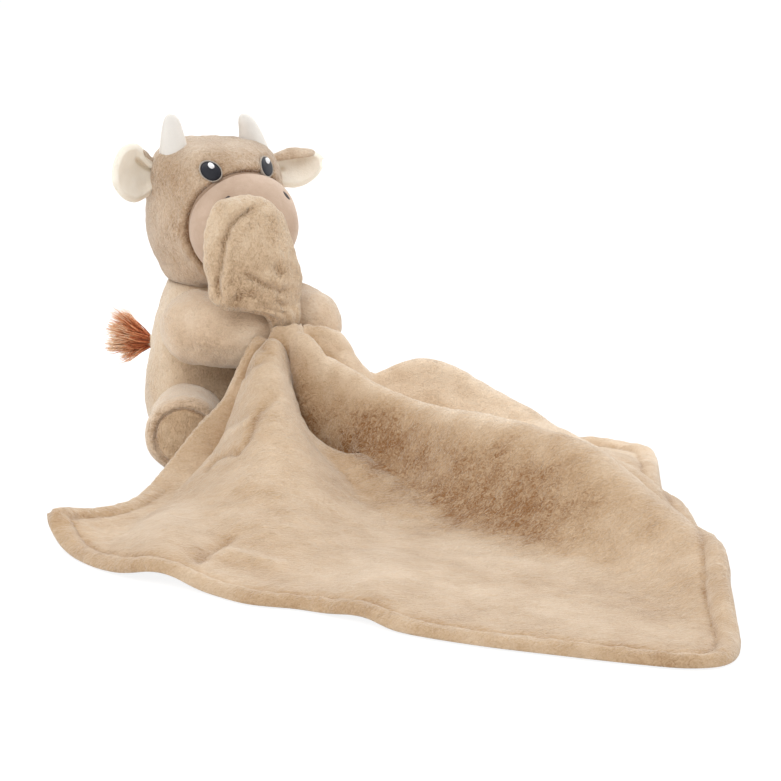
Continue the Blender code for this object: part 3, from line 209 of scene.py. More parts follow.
def fade(values, start, span):
    """0 before start and 1 from start + span on; with a negative span, the other way round."""
    return clamp((values - start) / span)


def smooth_route(points, count):
    """Evenly spaced points on a smooth curve through a list of points."""
    points = np.array(points, float)
    last = len(points) - 1
    mix = np.linspace(0, 1, 24, endpoint=False)[:, None]
    square, cube = mix ** 2, mix ** 3
    dense = []
    for index in range(last):
        before, here = points[max(index - 1, 0)], points[index]
        after, beyond = points[index + 1], points[min(index + 2, last)]
        first, second = (after - before) / 2, (beyond - here) / 2
        dense.append(
            here * (2 * cube - 3 * square + 1) + first * (cube - 2 * square + mix)
            + after * (3 * square - 2 * cube) + second * (cube - square)
        )
    dense = np.concatenate(dense + [points[-1:]])
    lengths = run_length(dense)
    where = np.linspace(0, lengths[-1], count) if np.isscalar(count) else np.array(count) * lengths[-1]
    return np.stack([np.interp(where, lengths, dense[:, axis]) for axis in range(dense.shape[1])], axis=1)


def run_length(points):
    """How far along a broken line each of its points is."""
    return np.concatenate(([0], np.cumsum(np.linalg.norm(np.diff(points, axis=0), axis=1))))


def full_turn(sides):
    return np.linspace(0, math.tau, sides, endpoint=False)


def joined(x, y, z):
    """Points from their coordinates, each of which may be a grid, a row, a column or one number."""
    return np.stack(np.broadcast_arrays(x, y, z), axis=-1)


def unit(vectors):
    return vectors / np.maximum(np.linalg.norm(vectors, axis=-1, keepdims=True), 1e-12)


def grid_normals(points, wrap=False):
    """Normals of a grid of points. With wrap, each row is a closed ring."""
    if wrap:
        across = (np.roll(points, -1, axis=1) - np.roll(points, 1, axis=1)) / 2
    else:
        across = np.gradient(points, axis=1)
    return unit(np.cross(across, np.gradient(points, axis=0)))


def raised(rings, shift):
    """Rings moved out along their normals."""
    return rings + grid_normals(rings, True) * shift[..., None]


def relax(grid, passes):
    """Evens out a grid: each inner value becomes the mean of its four neighbours, pass after pass."""
    for _ in range(passes):
        grid[1:-1, 1:-1] = (grid[:-2, 1:-1] + grid[2:, 1:-1] + grid[1:-1, :-2] + grid[1:-1, 2:]) / 4


def bumpy(points, scale, seed):
    """Smooth random values of about -1 to 1 at each point, with lumps of the given size."""
    flat = points.reshape(-1, 3) / scale + seed * 7.31
    values = np.array([noise.noise(Vector(point)) for point in flat])
    return values.reshape(points.shape[:-1]) * 1.6


def bell(distance, width):
    return np.exp(-((distance / width) ** 2))


def to_path(points, path, axes=(0, 1, 2)):
    """Distance from each point to a broken line, and how far along it the nearest place is, 0 to 1."""
    flat = points.reshape(-1, 3)[:, axes]
    path = np.array(path, float)[:, axes]
    lengths = run_length(path)
    best = np.full(len(flat), 1e9)
    where = np.zeros(len(flat))
    for index in range(len(path) - 1):
        step = path[index + 1] - path[index]
        mix = clamp(((flat - path[index]) @ step) / max(step @ step, 1e-15))
        away = np.linalg.norm(flat - path[index] - mix[:, None] * step, axis=1)
        nearer = away < best
        best[nearer] = away[nearer]
        along = lengths[index] + mix * (lengths[index + 1] - lengths[index])
        where[nearer] = along[nearer] / lengths[-1]
    shape = points.shape[:-1]
    return best.reshape(shape), where.reshape(shape)


def crease(points, path, width, axes=(0, 1, 2)):
    """1 on the line of a crease, falling to 0 beside it and at its ends."""
    away, where = to_path(points, path, axes)
    return bell(away, width) * clamp(np.sin(np.pi * np.clip(where, 0.02, 0.98)) * 2.2)


def tube_faces(rows, sides):
    index = np.arange(rows * sides).reshape(rows, sides)
    after = np.roll(index, -1, axis=1)
    return np.stack([index[:-1], after[:-1], after[1:], index[1:]], axis=-1).reshape(-1, 4).tolist()


def grid_faces(rows, cols, first=0, flip=False):
    index = first + np.arange(rows * cols).reshape(rows, cols)
    order = (index[:-1, :-1], index[:-1, 1:], index[1:, 1:], index[1:, :-1])
    return np.stack(order[::-1] if flip else order, axis=-1).reshape(-1, 4)


def add_object(name, data):
    made = bpy.data.objects.new(name, data)
    bpy.context.scene.collection.objects.link(made)
    return made


def make(name, verts, faces, look, body, replaces=(), slot=None, tone_and_shade=None, fill=None):
    """A smooth piece from points and faces, dressed, riding on a body."""
    mesh = bpy.data.meshes.new(name)
    mesh.from_pydata(verts.reshape(-1, 3).tolist(), [], [list(face) for face in faces])
    mesh.validate()
    mesh.shade_smooth()
    # The attribute made here holds random tone, the tuft's paler ends, and painted shade and painted
    # highlights that the looks add to the colour
    if tone_and_shade is not None:
        layer = mesh.attributes.new("tone_and_shade", "FLOAT", "POINT")
        layer.data.foreach_set("value", np.ascontiguousarray(tone_and_shade, dtype=np.float32).ravel())
    mesh.materials.append(LOOKS[look])
    piece = add_object(name, mesh)
    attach(piece, body)
    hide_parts(*replaces)
    return piece


def closed_tube(name, rings, look, body, tone_and_shade=None, **more):
    """A closed skin over rings, with a point in the middle of each end."""
    rows, sides = rings.shape[:2]
    ends = np.stack([rings[0].mean(axis=0), rings[-1].mean(axis=0)])
    verts = np.concatenate([rings.reshape(-1, 3), ends])
    faces = tube_faces(rows, sides)
    low, high = rows * sides, rows * sides + 1
    for index in range(sides):
        after = (index + 1) % sides
        faces.append((after, index, low))
        faces.append(((rows - 1) * sides + index, (rows - 1) * sides + after, high))
    if tone_and_shade is not None:
        tone_and_shade = np.concatenate([tone_and_shade.ravel(), [tone_and_shade[0].mean(), tone_and_shade[-1].mean()]])
    return make(name, verts, faces, look, body, tone_and_shade=tone_and_shade, **more)


def closed_sheet(name, upper, lower, look, body, tone_and_shade, **more):
    """A closed skin over two grids that are sewn together round their edge."""
    rows, cols = upper.shape[:2]
    verts = np.concatenate([upper.reshape(-1, 3), lower.reshape(-1, 3)])
    count = rows * cols
    index = np.arange(count).reshape(rows, cols)
    rim = np.concatenate([index[0, :-1], index[:-1, -1], index[-1, :0:-1], index[:0:-1, 0]])
    after = np.roll(rim, -1)
    side = np.stack([rim, rim + count, after + count, after], axis=-1)
    faces = np.concatenate([grid_faces(rows, cols), grid_faces(rows, cols, count, True), side])
    return make(name, verts, faces, look, body, tone_and_shade=np.concatenate([tone_and_shade.ravel(), tone_and_shade.ravel()]), **more)


def turned(profile, sides):
    """Rings of a solid of revolution about Z, from radius and height."""
    angle = full_turn(sides)
    radius, height = profile[:, :1], profile[:, 1:]
    return joined(radius * np.cos(angle), radius * np.sin(angle), height)


def turn_head(points):
    """The head family is made looking straight forward and turned on the neck."""
    cos, sin = math.cos(math.radians(HEAD_HEADING)), math.sin(math.radians(HEAD_HEADING))
    return points @ np.array(((cos, -sin, 0), (sin, cos, 0), (0, 0, 1))).T


def head_power(level):
    return np.where(level > 0, HEAD_TOP_POWER, HEAD_LOW_POWER)


def head_radius(level):
    level = clamp(np.abs(level)) * np.sign(level)
    power = head_power(level)
    return (1 - np.abs(level) ** power) ** (1 / power)


def head_front(out, height):
    """How far forward the head's surface lies at a place seen from the front."""
    share = head_radius((height - HEAD_CENTRE[2]) / HEAD_HALF[2]) ** 2 - (out / HEAD_HALF[0]) ** 2
    return -HEAD_CENTRE[1] + HEAD_HALF[1] * np.sqrt(np.maximum(share, 0))


def muzzle_front(out, height):
    share = 1 - (out / MUZZLE_HALF[0]) ** 2 - ((height - MUZZLE_CENTRE[2]) / MUZZLE_HALF[2]) ** 2
    return -MUZZLE_CENTRE[1] + MUZZLE_HALF[1] * np.sqrt(np.maximum(share, 0))


def off_muzzle(points):
    """Signed distance from the muzzle's surface, outside positive."""
    away = (points - MUZZLE_CENTRE) / MUZZLE_HALF
    size = np.linalg.norm(away, axis=-1)
    slope = np.linalg.norm(away / MUZZLE_HALF, axis=-1)
    return size * (size - 1) / np.maximum(slope, 1e-9)


def head_level(points):
    """How far outside the head's surface each point is, as a share of the head."""
    away = (points - HEAD_CENTRE) / HEAD_HALF
    power = head_power(away[..., 2])
    return (np.hypot(away[..., 0], away[..., 1]) ** power + np.abs(away[..., 2]) ** power) ** (1 / power) - 1


def off_head(points):
    """Signed distance from the head's surface, outside positive."""
    here, step = head_level(points), 1e-5
    slope = np.stack([(head_level(points + step * way) - here) / step for way in np.eye(3)], axis=-1)
    return here / np.maximum(np.linalg.norm(slope, axis=-1), 1e-6)


def ball_grid(rows, sides):
    """Unit sphere as rings from the lowest to the highest, without its two end points."""
    bend = np.linspace(0, math.pi, rows + 2)[1:-1][:, None]
    turn = full_turn(sides)
    return joined(np.sin(bend) * np.cos(turn), np.sin(bend) * np.sin(turn), -np.cos(bend))


# Materials
class Look:
    """One node material on a Principled shader."""

    def __init__(self, name, roughness, sheen, sheen_roughness=0.4, tint=(255, 255, 255), specular=0.3):
        self.material = bpy.data.materials.new(name)
        self.material.use_nodes = True
        self.tree = self.material.node_tree
        self.shader = self.tree.nodes["Principled BSDF"]
        settings = {
            "Roughness": roughness, "Sheen Weight": sheen, "Sheen Roughness": sheen_roughness,
            "Sheen Tint": (*linear(tint), 1), "Specular IOR Level": specular,
        }
        for socket, value in settings.items():
            self.shader.inputs[socket].default_value = value
        self.place = self.node("ShaderNodeTexCoord").outputs["Object"]

    def node(self, kind, **settings):
        made = self.tree.nodes.new(kind)
        for key, value in settings.items():
            setattr(made, key, value)
        return made

    def link(self, source, target):
        self.tree.links.new(source, target)

    def mapped(self, socket, value):
        """The object's coordinates, scaled or turned."""
        mapping = self.node("ShaderNodeMapping")
        mapping.inputs[socket].default_value = value
        self.link(self.place, mapping.inputs["Vector"])
        return mapping.outputs["Vector"]

    def noise(self, scale, detail=2, roughness=0.5, distortion=0, vector=None):
        made = self.node("ShaderNodeTexNoise")
        settings = {"Scale": scale, "Detail": detail, "Roughness": roughness, "Distortion": distortion}
        for socket, value in settings.items():
            made.inputs[socket].default_value = value
        self.link(vector or self.place, made.inputs["Vector"])
        return made.outputs["Fac"]

    def math(self, operation, one, two, three=0, clamped=False):
        made = self.node("ShaderNodeMath", operation=operation, use_clamp=clamped)
        for socket, value in zip(made.inputs, (one, two, three)):
            if isinstance(value, (int, float)):
                socket.default_value = value
            else:
                self.link(value, socket)
        return made.outputs[0]

    def weigh(self, *pairs, start=0):
        """Sum of sources times their weights."""
        total = start
        for source, weight in pairs:
            total = self.math("MULTIPLY_ADD", source, weight, total)
        return total

    def colour(self, source, *stops):
        """Colour of the surface from a source, with a tone at each stop."""
        made = self.node("ShaderNodeValToRGB")
        band = made.color_ramp
        while len(band.elements) < len(stops):
            band.elements.new(0.5)
        for element, (at, tone) in zip(band.elements, stops):
            element.position = at
            element.color = (*linear(tone), 1)
        self.link(source, made.inputs["Fac"])
        self.link(made.outputs["Color"], self.shader.inputs["Base Color"])

    # Reads the attribute of random tone with painted shade and painted highlights
    def tone_and_shade(self):
        return self.node("ShaderNodeAttribute", attribute_name="tone_and_shade").outputs["Fac"]

    def bump(self, source, distance, strength):
        made = self.node("ShaderNodeBump")
        made.inputs["Distance"].default_value = distance
        made.inputs["Strength"].default_value = strength
        self.link(source, made.inputs["Height"])
        self.link(made.outputs["Normal"], self.shader.inputs["Normal"])


def linear(tones):
    """Colour of a surface from the tones that a swatch of it shows, 0 to 255."""
    return [((tone / 255 + 0.055) / 1.055) ** 2.4 for tone in tones]


def plush(name, dark, mid, pale, lay=(1, 1, 0.6), grain=1, depth=0.001, broad=0.35):
    """Short pile: fine fibres lying one way, clumps of them, and broad brushed patches."""
    look = Look(name, 0.95, 1, 0.32, (255, 248, 238), 0.08)
    laid = look.mapped("Scale", lay)
    fibre = look.noise(1150, 3, 0.7, 1.2, laid)
    clump = look.noise(520, 3, 0.6, 1.6, laid)
    tuft = look.noise(190, 2, 0.5, 1, laid)
    patch = look.noise(30, 2, 0.5, 0.4)
    tone_and_shade = look.tone_and_shade()
    # How much the attribute darkens the pile, mostly painted shade; the grain is speckled more there
    darkened = look.math("MULTIPLY", tone_and_shade, -1, clamped=True)
    speck = look.math("MULTIPLY", look.weigh((clump, 1), start=-0.5), darkened)
    parted = look.math("MULTIPLY_ADD", clump, 6, -3.75, clamped=True)
    clump_share, tuft_share = 0.75 * grain, 0.22 * grain
    tone = look.weigh(
        (fibre, grain), (clump, clump_share), (tuft, tuft_share), (patch, broad), (tone_and_shade, 0.5), (speck, 1.6),
        (parted, -0.36 * grain), start=0.55 - (grain + clump_share + tuft_share + broad) / 2,
    )
    look.colour(tone, (0, dark), (0.5, mid), (1, pale))
    look.bump(look.weigh((fibre, 0.5), (clump, 1), (tuft, 0.8)), depth, 0.9)
    return look.material


def velour(name, shade, pale, depth=0.00035, grain=1):
    """Very short smooth pile."""
    look = Look(name, 0.85, 0.5, 0.35, (255, 248, 240), 0.15)
    fine = look.noise(2300, 2, 0.6)
    soft = look.noise(330, 3, 0.55, 0.4)
    patch = look.noise(60, 2, 0.5)
    tone_and_shade = look.tone_and_shade()
    tone = look.weigh(
        (fine, 0.5 * grain), (soft, 0.4 * grain), (patch, 0.5), (tone_and_shade, 0.5), start=0.25 - 0.45 * grain,
    )
    look.colour(tone, (0, shade), (1, pale))
    look.bump(look.weigh((fine, 0.6), (soft, 1)), depth, 0.8)
    return look.material


def thread(name, shade, pale, roughness, turn, pitch=0.00042):
    """Satin stitches that lie side by side."""
    look = Look(name, roughness, 0)
    stitches = look.mapped("Rotation", (0, math.radians(turn), 0))
    wave = look.node("ShaderNodeTexWave", wave_type="BANDS", bands_direction="X", wave_profile="SIN")
    for key, value in (("Scale", math.tau / (20 * pitch)), ("Distortion", 0.9), ("Detail", 1)):
        wave.inputs[key].default_value = value
    look.link(stitches, wave.inputs["Vector"])
    band = wave.outputs["Fac"]
    fine = look.noise(1800, 2)
    tone = look.weigh((band, 0.6), (fine, 0.4))
    look.colour(tone, (0, shade), (1, pale))
    look.link(look.weigh((band, -0.1), (fine, 0.12), start=roughness), look.shader.inputs["Roughness"])
    look.bump(tone, 0.00018, 0.8)
    return look.material


def strands(name, *stops):
    """Loose hair-like pile, paler towards its ends."""
    look = Look(name, 0.6, 0.3, tint=(255, 214, 180))
    tone_and_shade = look.tone_and_shade()
    fine = look.noise(900, 2, 0.6)
    look.colour(look.weigh((tone_and_shade, 1), (fine, 0.35), start=-0.17), *stops)
    look.bump(fine, 0.0002, 0.5)
    return look.material


LOOKS = {
    "head": plush("head_pile", (140, 108, 80), (194, 165, 136), (232, 211, 187), (1, 1, 0.8), depth=0.0013),
    "body": plush("body_pile", (163, 133, 104), (213, 188, 159), (241, 223, 200), (1, 1, 0.8), grain=0.75),
    "limb": plush("limb_pile", (170, 139, 109), (221, 195, 167), (245, 229, 208), (0.6, 1, 1), grain=0.6),
    "sole": plush("sole_pile", (146, 114, 84), (200, 169, 136), (228, 203, 172)),
    "blanket": plush(
        "blanket_pile", (142, 100, 60), (196, 166, 133), (232, 209, 182), (0.7, 1, 1), 0.62, 0.0009, 0.3,
    ),
    "corner": plush(
        "corner_pile", (150, 118, 88), (218, 190, 158), (244, 225, 200), (1, 1, 0.75), depth=0.0013,
    ),
    "muzzle": velour("muzzle_velour", (172, 145, 123), (209, 186, 167)),
    "lining": velour("ear_velour", (240, 230, 212), (254, 250, 240), depth=0.0004),
    "horn": velour("horn_velour", (218, 213, 206), (236, 232, 226), depth=0.0003, grain=0.7),
    "tail": plush("tail_pile", (190, 168, 136), (230, 216, 190), (246, 238, 220), grain=0.7),
    "eye": thread("eye_thread", (8, 8, 14), (30, 32, 44), 0.42, 90),
    "rim": thread("rim_thread", (150, 138, 126), (206, 196, 184), 0.6, 30),
    "glint": thread("glint_thread", (236, 238, 242), (254, 254, 254), 0.5, 0),
    "nostril": thread("nostril_thread", (30, 24, 26), (70, 58, 56), 0.5, 60, 0.0005),
    "tuft": strands(
        "tuft_pile", (0, (136, 62, 34)), (0.42, (200, 116, 74)), (0.75, (228, 164, 120)),
        (1, (246, 216, 184)),
    ),
}


# Body
def build_body():
    profile = [(BODY_FLAT_RADIUS * 0.55, 0), (BODY_FLAT_RADIUS, 0)]
    for share, radius_share in BODY_SHARES:
        if BODY_TALL * share < NECK_HEIGHT - 0.004:
            profile.append((BODY_RADIUS * radius_share, BODY_TALL * share))
    profile += [(0.0264, 0.0775), (0.0247, 0.0815), (0.0237, 0.0843)]
    profile += [(0.0222, NECK_HEIGHT + 0.0002), (0.014, NECK_HEIGHT + 0.0002), (0.006, NECK_HEIGHT - 0.0002)]
    rings = turned(smooth_route(profile, 100), 150)
    middle, height = np.abs(rings[..., 0]), rings[..., 2]
    above = fade(height, 0.002, 0.012) * fade(height, NECK_HEIGHT, -0.008)
    seam, puff = bell(middle, 0.0013) * above, bell(middle - 0.0045, 0.0035) * above
    lumps = bumpy(rings, 0.016, 1) * LUMP + bumpy(rings, 0.0045, 2) * GRAIN_LUMP
    rings = raised(rings, lumps * above - 0.0012 * seam + 0.0004 * puff)
    rings[..., 2] = np.maximum(rings[..., 2], 0)
    # Painted shade along the seam down the middle; the rest is random tone
    closed_tube(
        "plush_body", rings, "body", "torso", tone_and_shade=-0.5 * seam + 0.25 * bumpy(rings, 0.02, 3),
        replaces=("body_skin", "body_filling"), slot="plush_body", fill=0.8,
    )


# Head and face
def face_dips(points):
    """Where the stitches of the eyes press the pile down."""
    dip = np.zeros(points.shape[:-1])
    for _, side in SIDES:
        across = (points[..., 0] - side * EYE_OUT + EYE_SHIFT) / (EYE_HALF_WIDTH + EYE_RIM)
        tall = (points[..., 2] - EYE_HEIGHT) / (EYE_HALF_TALL + EYE_RIM)
        away = np.hypot(across, tall) + 9 * (points[..., 1] > 0)
        dip += fade(away, 1.25, -0.35)
    return clamp(dip)


def build_head():
    ball = ball_grid(190, 250)
    level = np.sign(ball[..., 2]) * np.abs(ball[..., 2]) ** 0.9
    stretch = head_radius(level) / np.maximum(np.hypot(ball[..., 0], ball[..., 1]), 1e-9)
    points = joined(ball[..., 0] * stretch, ball[..., 1] * stretch, level) * HEAD_HALF + HEAD_CENTRE
    x, y, z = points[..., 0], points[..., 1], points[..., 2]
    beside = off_muzzle(points)
    seam, roll = bell(beside, 0.001) * (y < -0.01), bell(beside - 0.0032, 0.0022) * (y < -0.01)
    dips = face_dips(points)
    crown = bell(x, 0.0011) * fade(z, 0.128, 0.02) * (y > 0.004)
    lumps = bumpy(points, 0.014, 4) * 0.0005 + bumpy(points, 0.004, 5) * 0.00024
    collar = 0.0018 * fade(x, 0.006, -0.012) * bell(z - NECK_HEIGHT - 0.0045, 0.005)
    for out, tall in ((-0.031, 0.0034), (0.031, 0.0012)):
        collar += tall * bell(np.linalg.norm(points - (out, -0.004, 0.15), axis=-1), 0.0075)
    shift = lumps * (1 - dips) - 0.0022 * seam + 0.0009 * (roll - crown) - 0.001 * dips + collar
    points = raised(points, shift)
    points[..., 2] = np.maximum(points[..., 2], NECK_HEIGHT - 0.0022)
    # Painted shade along the muzzle seam, round the eyes and along the crown's groove; the rest is random
    # tone
    closed_tube(
        "plush_head", turn_head(points), "head", "head",
        tone_and_shade=-1.5 * seam - 0.5 * dips - 0.4 * crown + 0.3 * bumpy(points, 0.015, 6),
        replaces=("head_skin", "head_filling"), slot="plush_head", fill=0.85,
    )


def build_muzzle():
    points = ball_grid(150, 200) * MUZZLE_HALF + MUZZLE_CENTRE
    seam = bell(off_head(points), 0.001)
    dent = np.zeros(points.shape[:-1])
    for _, side in SIDES:
        place = (side * NOSTRIL_OUT, -muzzle_front(NOSTRIL_OUT, NOSTRIL_HEIGHT), NOSTRIL_HEIGHT)
        dent += bell(np.linalg.norm(points - place, axis=-1), 0.0034)
    dart = crease(points, MUZZLE_DART, 0.0011)
    points = raised(points, bumpy(points, 0.013, 7) * 0.0004 - 0.002 * seam - 0.0008 * dent - 0.0007 * dart)
    # Painted shade along the seam, round the nostrils and in the dart; the rest is random tone
    closed_tube(
        "muzzle", turn_head(points), "muzzle", "head",
        tone_and_shade=-1.6 * seam - 0.3 * dent - 0.5 * dart + 0.25 * bumpy(points, 0.012, 8),
        replaces=("muzzle_panel",), slot="velour_muzzle", fill=0.85,
    )


def stitched_patch(name, place, half, slant, proud, front, look, slot, stands_for, hollow=0):
    """Raised oval of stitches that follows the surface under it. With hollow, only a ring of it."""
    rows, sides, sunk = 14, 72, 0.0004
    share, turn = np.linspace(hollow, 1, rows)[:, None], full_turn(sides)[None, :]
    across, tall = share * np.cos(turn) * half[0], share * np.sin(turn) * half[1]
    lean = math.radians(slant)
    out = place[0] + across * math.cos(lean) - tall * math.sin(lean)
    height = place[1] + across * math.sin(lean) + tall * math.cos(lean)
    middle = (1 + hollow) / 2
    if hollow:
        swell = np.sqrt(np.maximum(1 - ((share - middle) / (1 - middle)) ** 2, 0))
    else:
        swell = np.minimum((1 - share ** 4) ** 0.35 * (1.25 - 0.25 * share ** 2), 1.25)
    points = joined(out, -front(out, height), height)
    normals = grid_normals(points, True)
    steep = unit(np.where(normals[..., 1:2] > 0, -normals, normals).mean(axis=(0, 1)))
    points = points + steep * (swell * proud - sunk)[..., None]
    rings = np.concatenate([points, points[-1:] - steep * 3 * sunk])
    if not hollow:
        rings[0] = rings[0].mean(axis=0) + (rings[1] - rings[0].mean(axis=0)) * 0.05
        return closed_tube(name, turn_head(rings), look, "head", replaces=(stands_for,), slot=slot)
    rings = np.concatenate([points[:1] - steep * 3 * sunk, rings])
    faces = tube_faces(rows + 2, sides)
    last = (rows + 1) * sides
    faces += [(last + i, last + (i + 1) % sides, (i + 1) % sides, i) for i in range(sides)]
    return make(name, turn_head(rings), faces, look, "head", replaces=(stands_for,), slot=slot)


def build_face():
    for name, side in SIDES:
        place, slant = np.array((side * EYE_OUT - EYE_SHIFT, EYE_HEIGHT)), side * 8
        half = np.array((EYE_HALF_WIDTH, EYE_HALF_TALL))
        stitched_patch(
            name + "_eye_stitches", place, half, slant, 0.001, head_front, "eye", "dark_thread",
            name + "_eye",
        )
        stitched_patch(
            name + "_eye_ring", place, half + EYE_RIM, slant, 0.0008, head_front, "rim", "pale_thread",
            name + "_eye_rim", hollow=0.87,
        )
        stitched_patch(
            name + "_eye_spark", place + (0.0006, 0.0024), (0.0014, 0.0016), 0, 0.0018, head_front, "glint",
            "white_thread", name + "_eye_glint",
        )
        stitched_patch(
            name + "_nostril_stitches", (side * NOSTRIL_OUT, NOSTRIL_HEIGHT), (0.0033, 0.0009), -side * 50,
            0.0004, muzzle_front, "nostril", "dark_thread", name + "_nostril",
        )


# Ears and horns
def ear_grid(side, root_height, half_tall):
    """Middle surface of an ear. Rows run out to the tip, columns from the lower to the upper edge."""
    table = smooth_route(EAR_SHARES, 200)
    across = np.linspace(-1, 1, 38)[None, :]
    along = np.concatenate([np.linspace(table[0, 0], 0.94, 40), np.linspace(0.94, 0.988, 7)[1:]])[:, None]
    tall = np.interp(along, table[:, 0], table[:, 1])
    cup = EAR_CUP * (1 - across ** 2) * np.minimum(tall, (1.02 - along) / 0.42) * (1 - 0.35 * along)
    x = side * (EAR_ROOT_OUT + EAR_LONG * along)
    y = -EAR_ROOT_FORWARD - EAR_SWEEP * along + cup
    z = root_height + EAR_RISE * along + half_tall * tall * across
    z = z - 0.0018 * fade(across, 0.25, 0.5) * fade(along, 0.45, -0.35)
    if side > 0:
        z = z - 0.0024 * clamp(across) * fade(along, -0.1, 0.5)
    return joined(x, y, z), *np.broadcast_arrays(along, across)


def build_ear(name, side, root_height, half_tall):
    """A plush back and a velour lining; where the back is rolled over, it lies in front of the lining."""
    middle, along, across = ear_grid(side, root_height, half_tall)
    normals = grid_normals(middle)
    normals = normals * np.sign(normals[..., 1].mean())
    beside = to_path(middle, np.concatenate([middle[:, 0], middle[-1], middle[::-1, -1]]))[0]
    tip_free = fade(along, 0.25, 0.25)
    curl = flap = outer = 0 * across
    if side < 0:
        fold = 1.2 * crease(middle, [middle[2, 22], middle[9, 23], middle[15, 26], middle[21, 29]], 0.0014)
        flap = bell(to_path(middle, [middle[3, 29], middle[15, 31]])[0], 0.0032)
        rolled = fade(across, 0.8, 0.12) * fade(along, 0.34, -0.12)
        outer = fade(along, 0.35, 0.4)
    else:
        fold = crease(middle, [middle[2, 16], middle[11, 15], middle[20, 14]], 0.0014)
        by_tip = fade(along, 0.66, 0.34)
        rolled = fade(across, 0.48 + 0.75 * by_tip ** 1.6, 0.1 + 0.25 * by_tip)
        rolled = np.maximum(rolled, fade(across, -0.25, -0.15) * fade(along, 0.22, -0.1))
        curl = fade(across, 0.45, 0.55) ** 2 * 0.0036 * clamp(along * 3) * fade(along, 0.96, -0.3)
    rolled = rolled ** 2 * (3 - 2 * rolled)
    by_horn = fade(across, 0.3, 0.4) * fade(along, 0.45, -0.3)
    middle = middle + normals * (bumpy(middle, 0.012, 11) * 0.0006 - curl)[..., None]
    centre = middle[6:40].mean(axis=(0, 1))

    def layer(offset, share):
        """The ear's surface set off to the front or the back and drawn in or out from its centre."""
        return centre + (middle + normals * offset[..., None] - centre) * share[..., None]

    round_edge = np.sqrt(1 - (1 - clamp(beside / 0.0017)) ** 2)
    rough = bumpy(middle, 0.004, 12) * 0.0002
    back = 0.002 + (0.0024 + rough) * round_edge * (1 - 0.6 * np.maximum(by_horn, outer))
    lap = (0.0042 + rough) * np.sqrt(rolled) * (0.4 + 0.6 * round_edge) * (1 - 0.4 * by_horn)
    share = 0.96 + 0.05 * rolled * tip_free - 0.025 * outer
    plush_back = closed_sheet(
        name + "_ear_back", layer(back, share), layer(0.0016 - lap, share), "head", name + "_ear",
        0.35 + 0.2 * bumpy(middle, 0.008, 13), replaces=(name + "_ear",), slot="plush_head", fill=0.2,
    )
    plump = np.sqrt(1 - (1 - clamp(beside / 0.0014) * (1 - rolled)) ** 2)
    front = 0.0012 - 0.0026 * plump + 0.002 * fold - 0.0016 * flap
    share = 1 + 0.035 * tip_free - 0.05 * rolled
    # Painted shade in the lining's fold; the rest is random tone
    lining = closed_sheet(
        name + "_ear_inside", layer(front, share), layer(0.0018 + (0.0006 - 0.0008 * outer) * plump, share),
        "lining", name + "_ear", -1.3 * fold + 0.25 * bumpy(middle, 0.007, 14),
        replaces=(name + "_ear_lining",), slot="ear_lining", fill=0.1,
    )
    for piece in (plush_back, lining):
        piece.data.transform(Matrix.Rotation(math.radians(HEAD_HEADING), 4, "Z"))


def build_horns():
    for name, side in SIDES[::-1]:
        table = smooth_route((*HORN_SHARES, (0.992, 0.08)), 46)
        turn = full_turn(44)
        share, radius = table[:, :1], table[:, 1:] * HORN_RADIUS
        lean = HORN_LEANS[name] * np.maximum(share, 0) ** 1.5
        base = HEAD_CENTRE[2] + HEAD_HALF[2] * HORN_UP_SHARES[name]
        rings = joined(
            side * (HORN_OUT + lean) + radius * np.cos(turn), -HORN_FORWARD + radius * 0.92 * np.sin(turn),
            base + HORN_LONG * (share - 0.25),
        )
        seam = bell(np.sin(turn) * radius, 0.0006)
        rings = raised(rings, bumpy(rings, 0.009, 15 + side) * 0.0003 - 0.0004 * seam)
        # Painted shade along the horn's seam
        closed_tube(
            name + "_horn_velour", turn_head(rings), "horn", "head", tone_and_shade=-0.5 * seam,
            replaces=(name + "_horn",), slot="horn_velour", fill=0.8,
        )


# Arms and legs
def route_between(start, middle, end, count):
    start, middle, end = Vector(start), Vector(middle), Vector(end)
    lean = (end - start) / 4
    first = interpolate_bezier(start, start + (middle - start) / 3, middle - lean / 2, middle, count)
    second = interpolate_bezier(middle, middle + lean / 2, end - (end - middle) / 3, end, count)
    return np.array([tuple(point) for point in first + second[1:]])


def limb_rings(route, radii, sides, cap_rows):
    """Rings of a stuffed limb with round ends."""
    heads = unit(np.gradient(route, axis=0))
    bend = np.linspace(0, math.pi / 2, cap_rows + 2)[1:-1]
    centres = [route[0] - heads[0] * radii[0] * math.cos(angle) for angle in bend]
    centres += list(route) + [route[-1] + heads[-1] * radii[-1] * math.cos(angle) for angle in bend[::-1]]
    sizes = np.concatenate([radii[0] * np.sin(bend), radii, radii[-1] * np.sin(bend[::-1])])
    ways = np.array([heads[0]] * cap_rows + list(heads) + [heads[-1]] * cap_rows)
    side = unit(np.cross(ways, (0, 0, 1)))
    top = unit(np.cross(side, ways))
    turn = full_turn(sides)[None, :, None]
    circle = np.cos(turn) * side[:, None, :] + np.sin(turn) * top[:, None, :]
    return np.array(centres)[:, None, :] + sizes[:, None, None] * circle


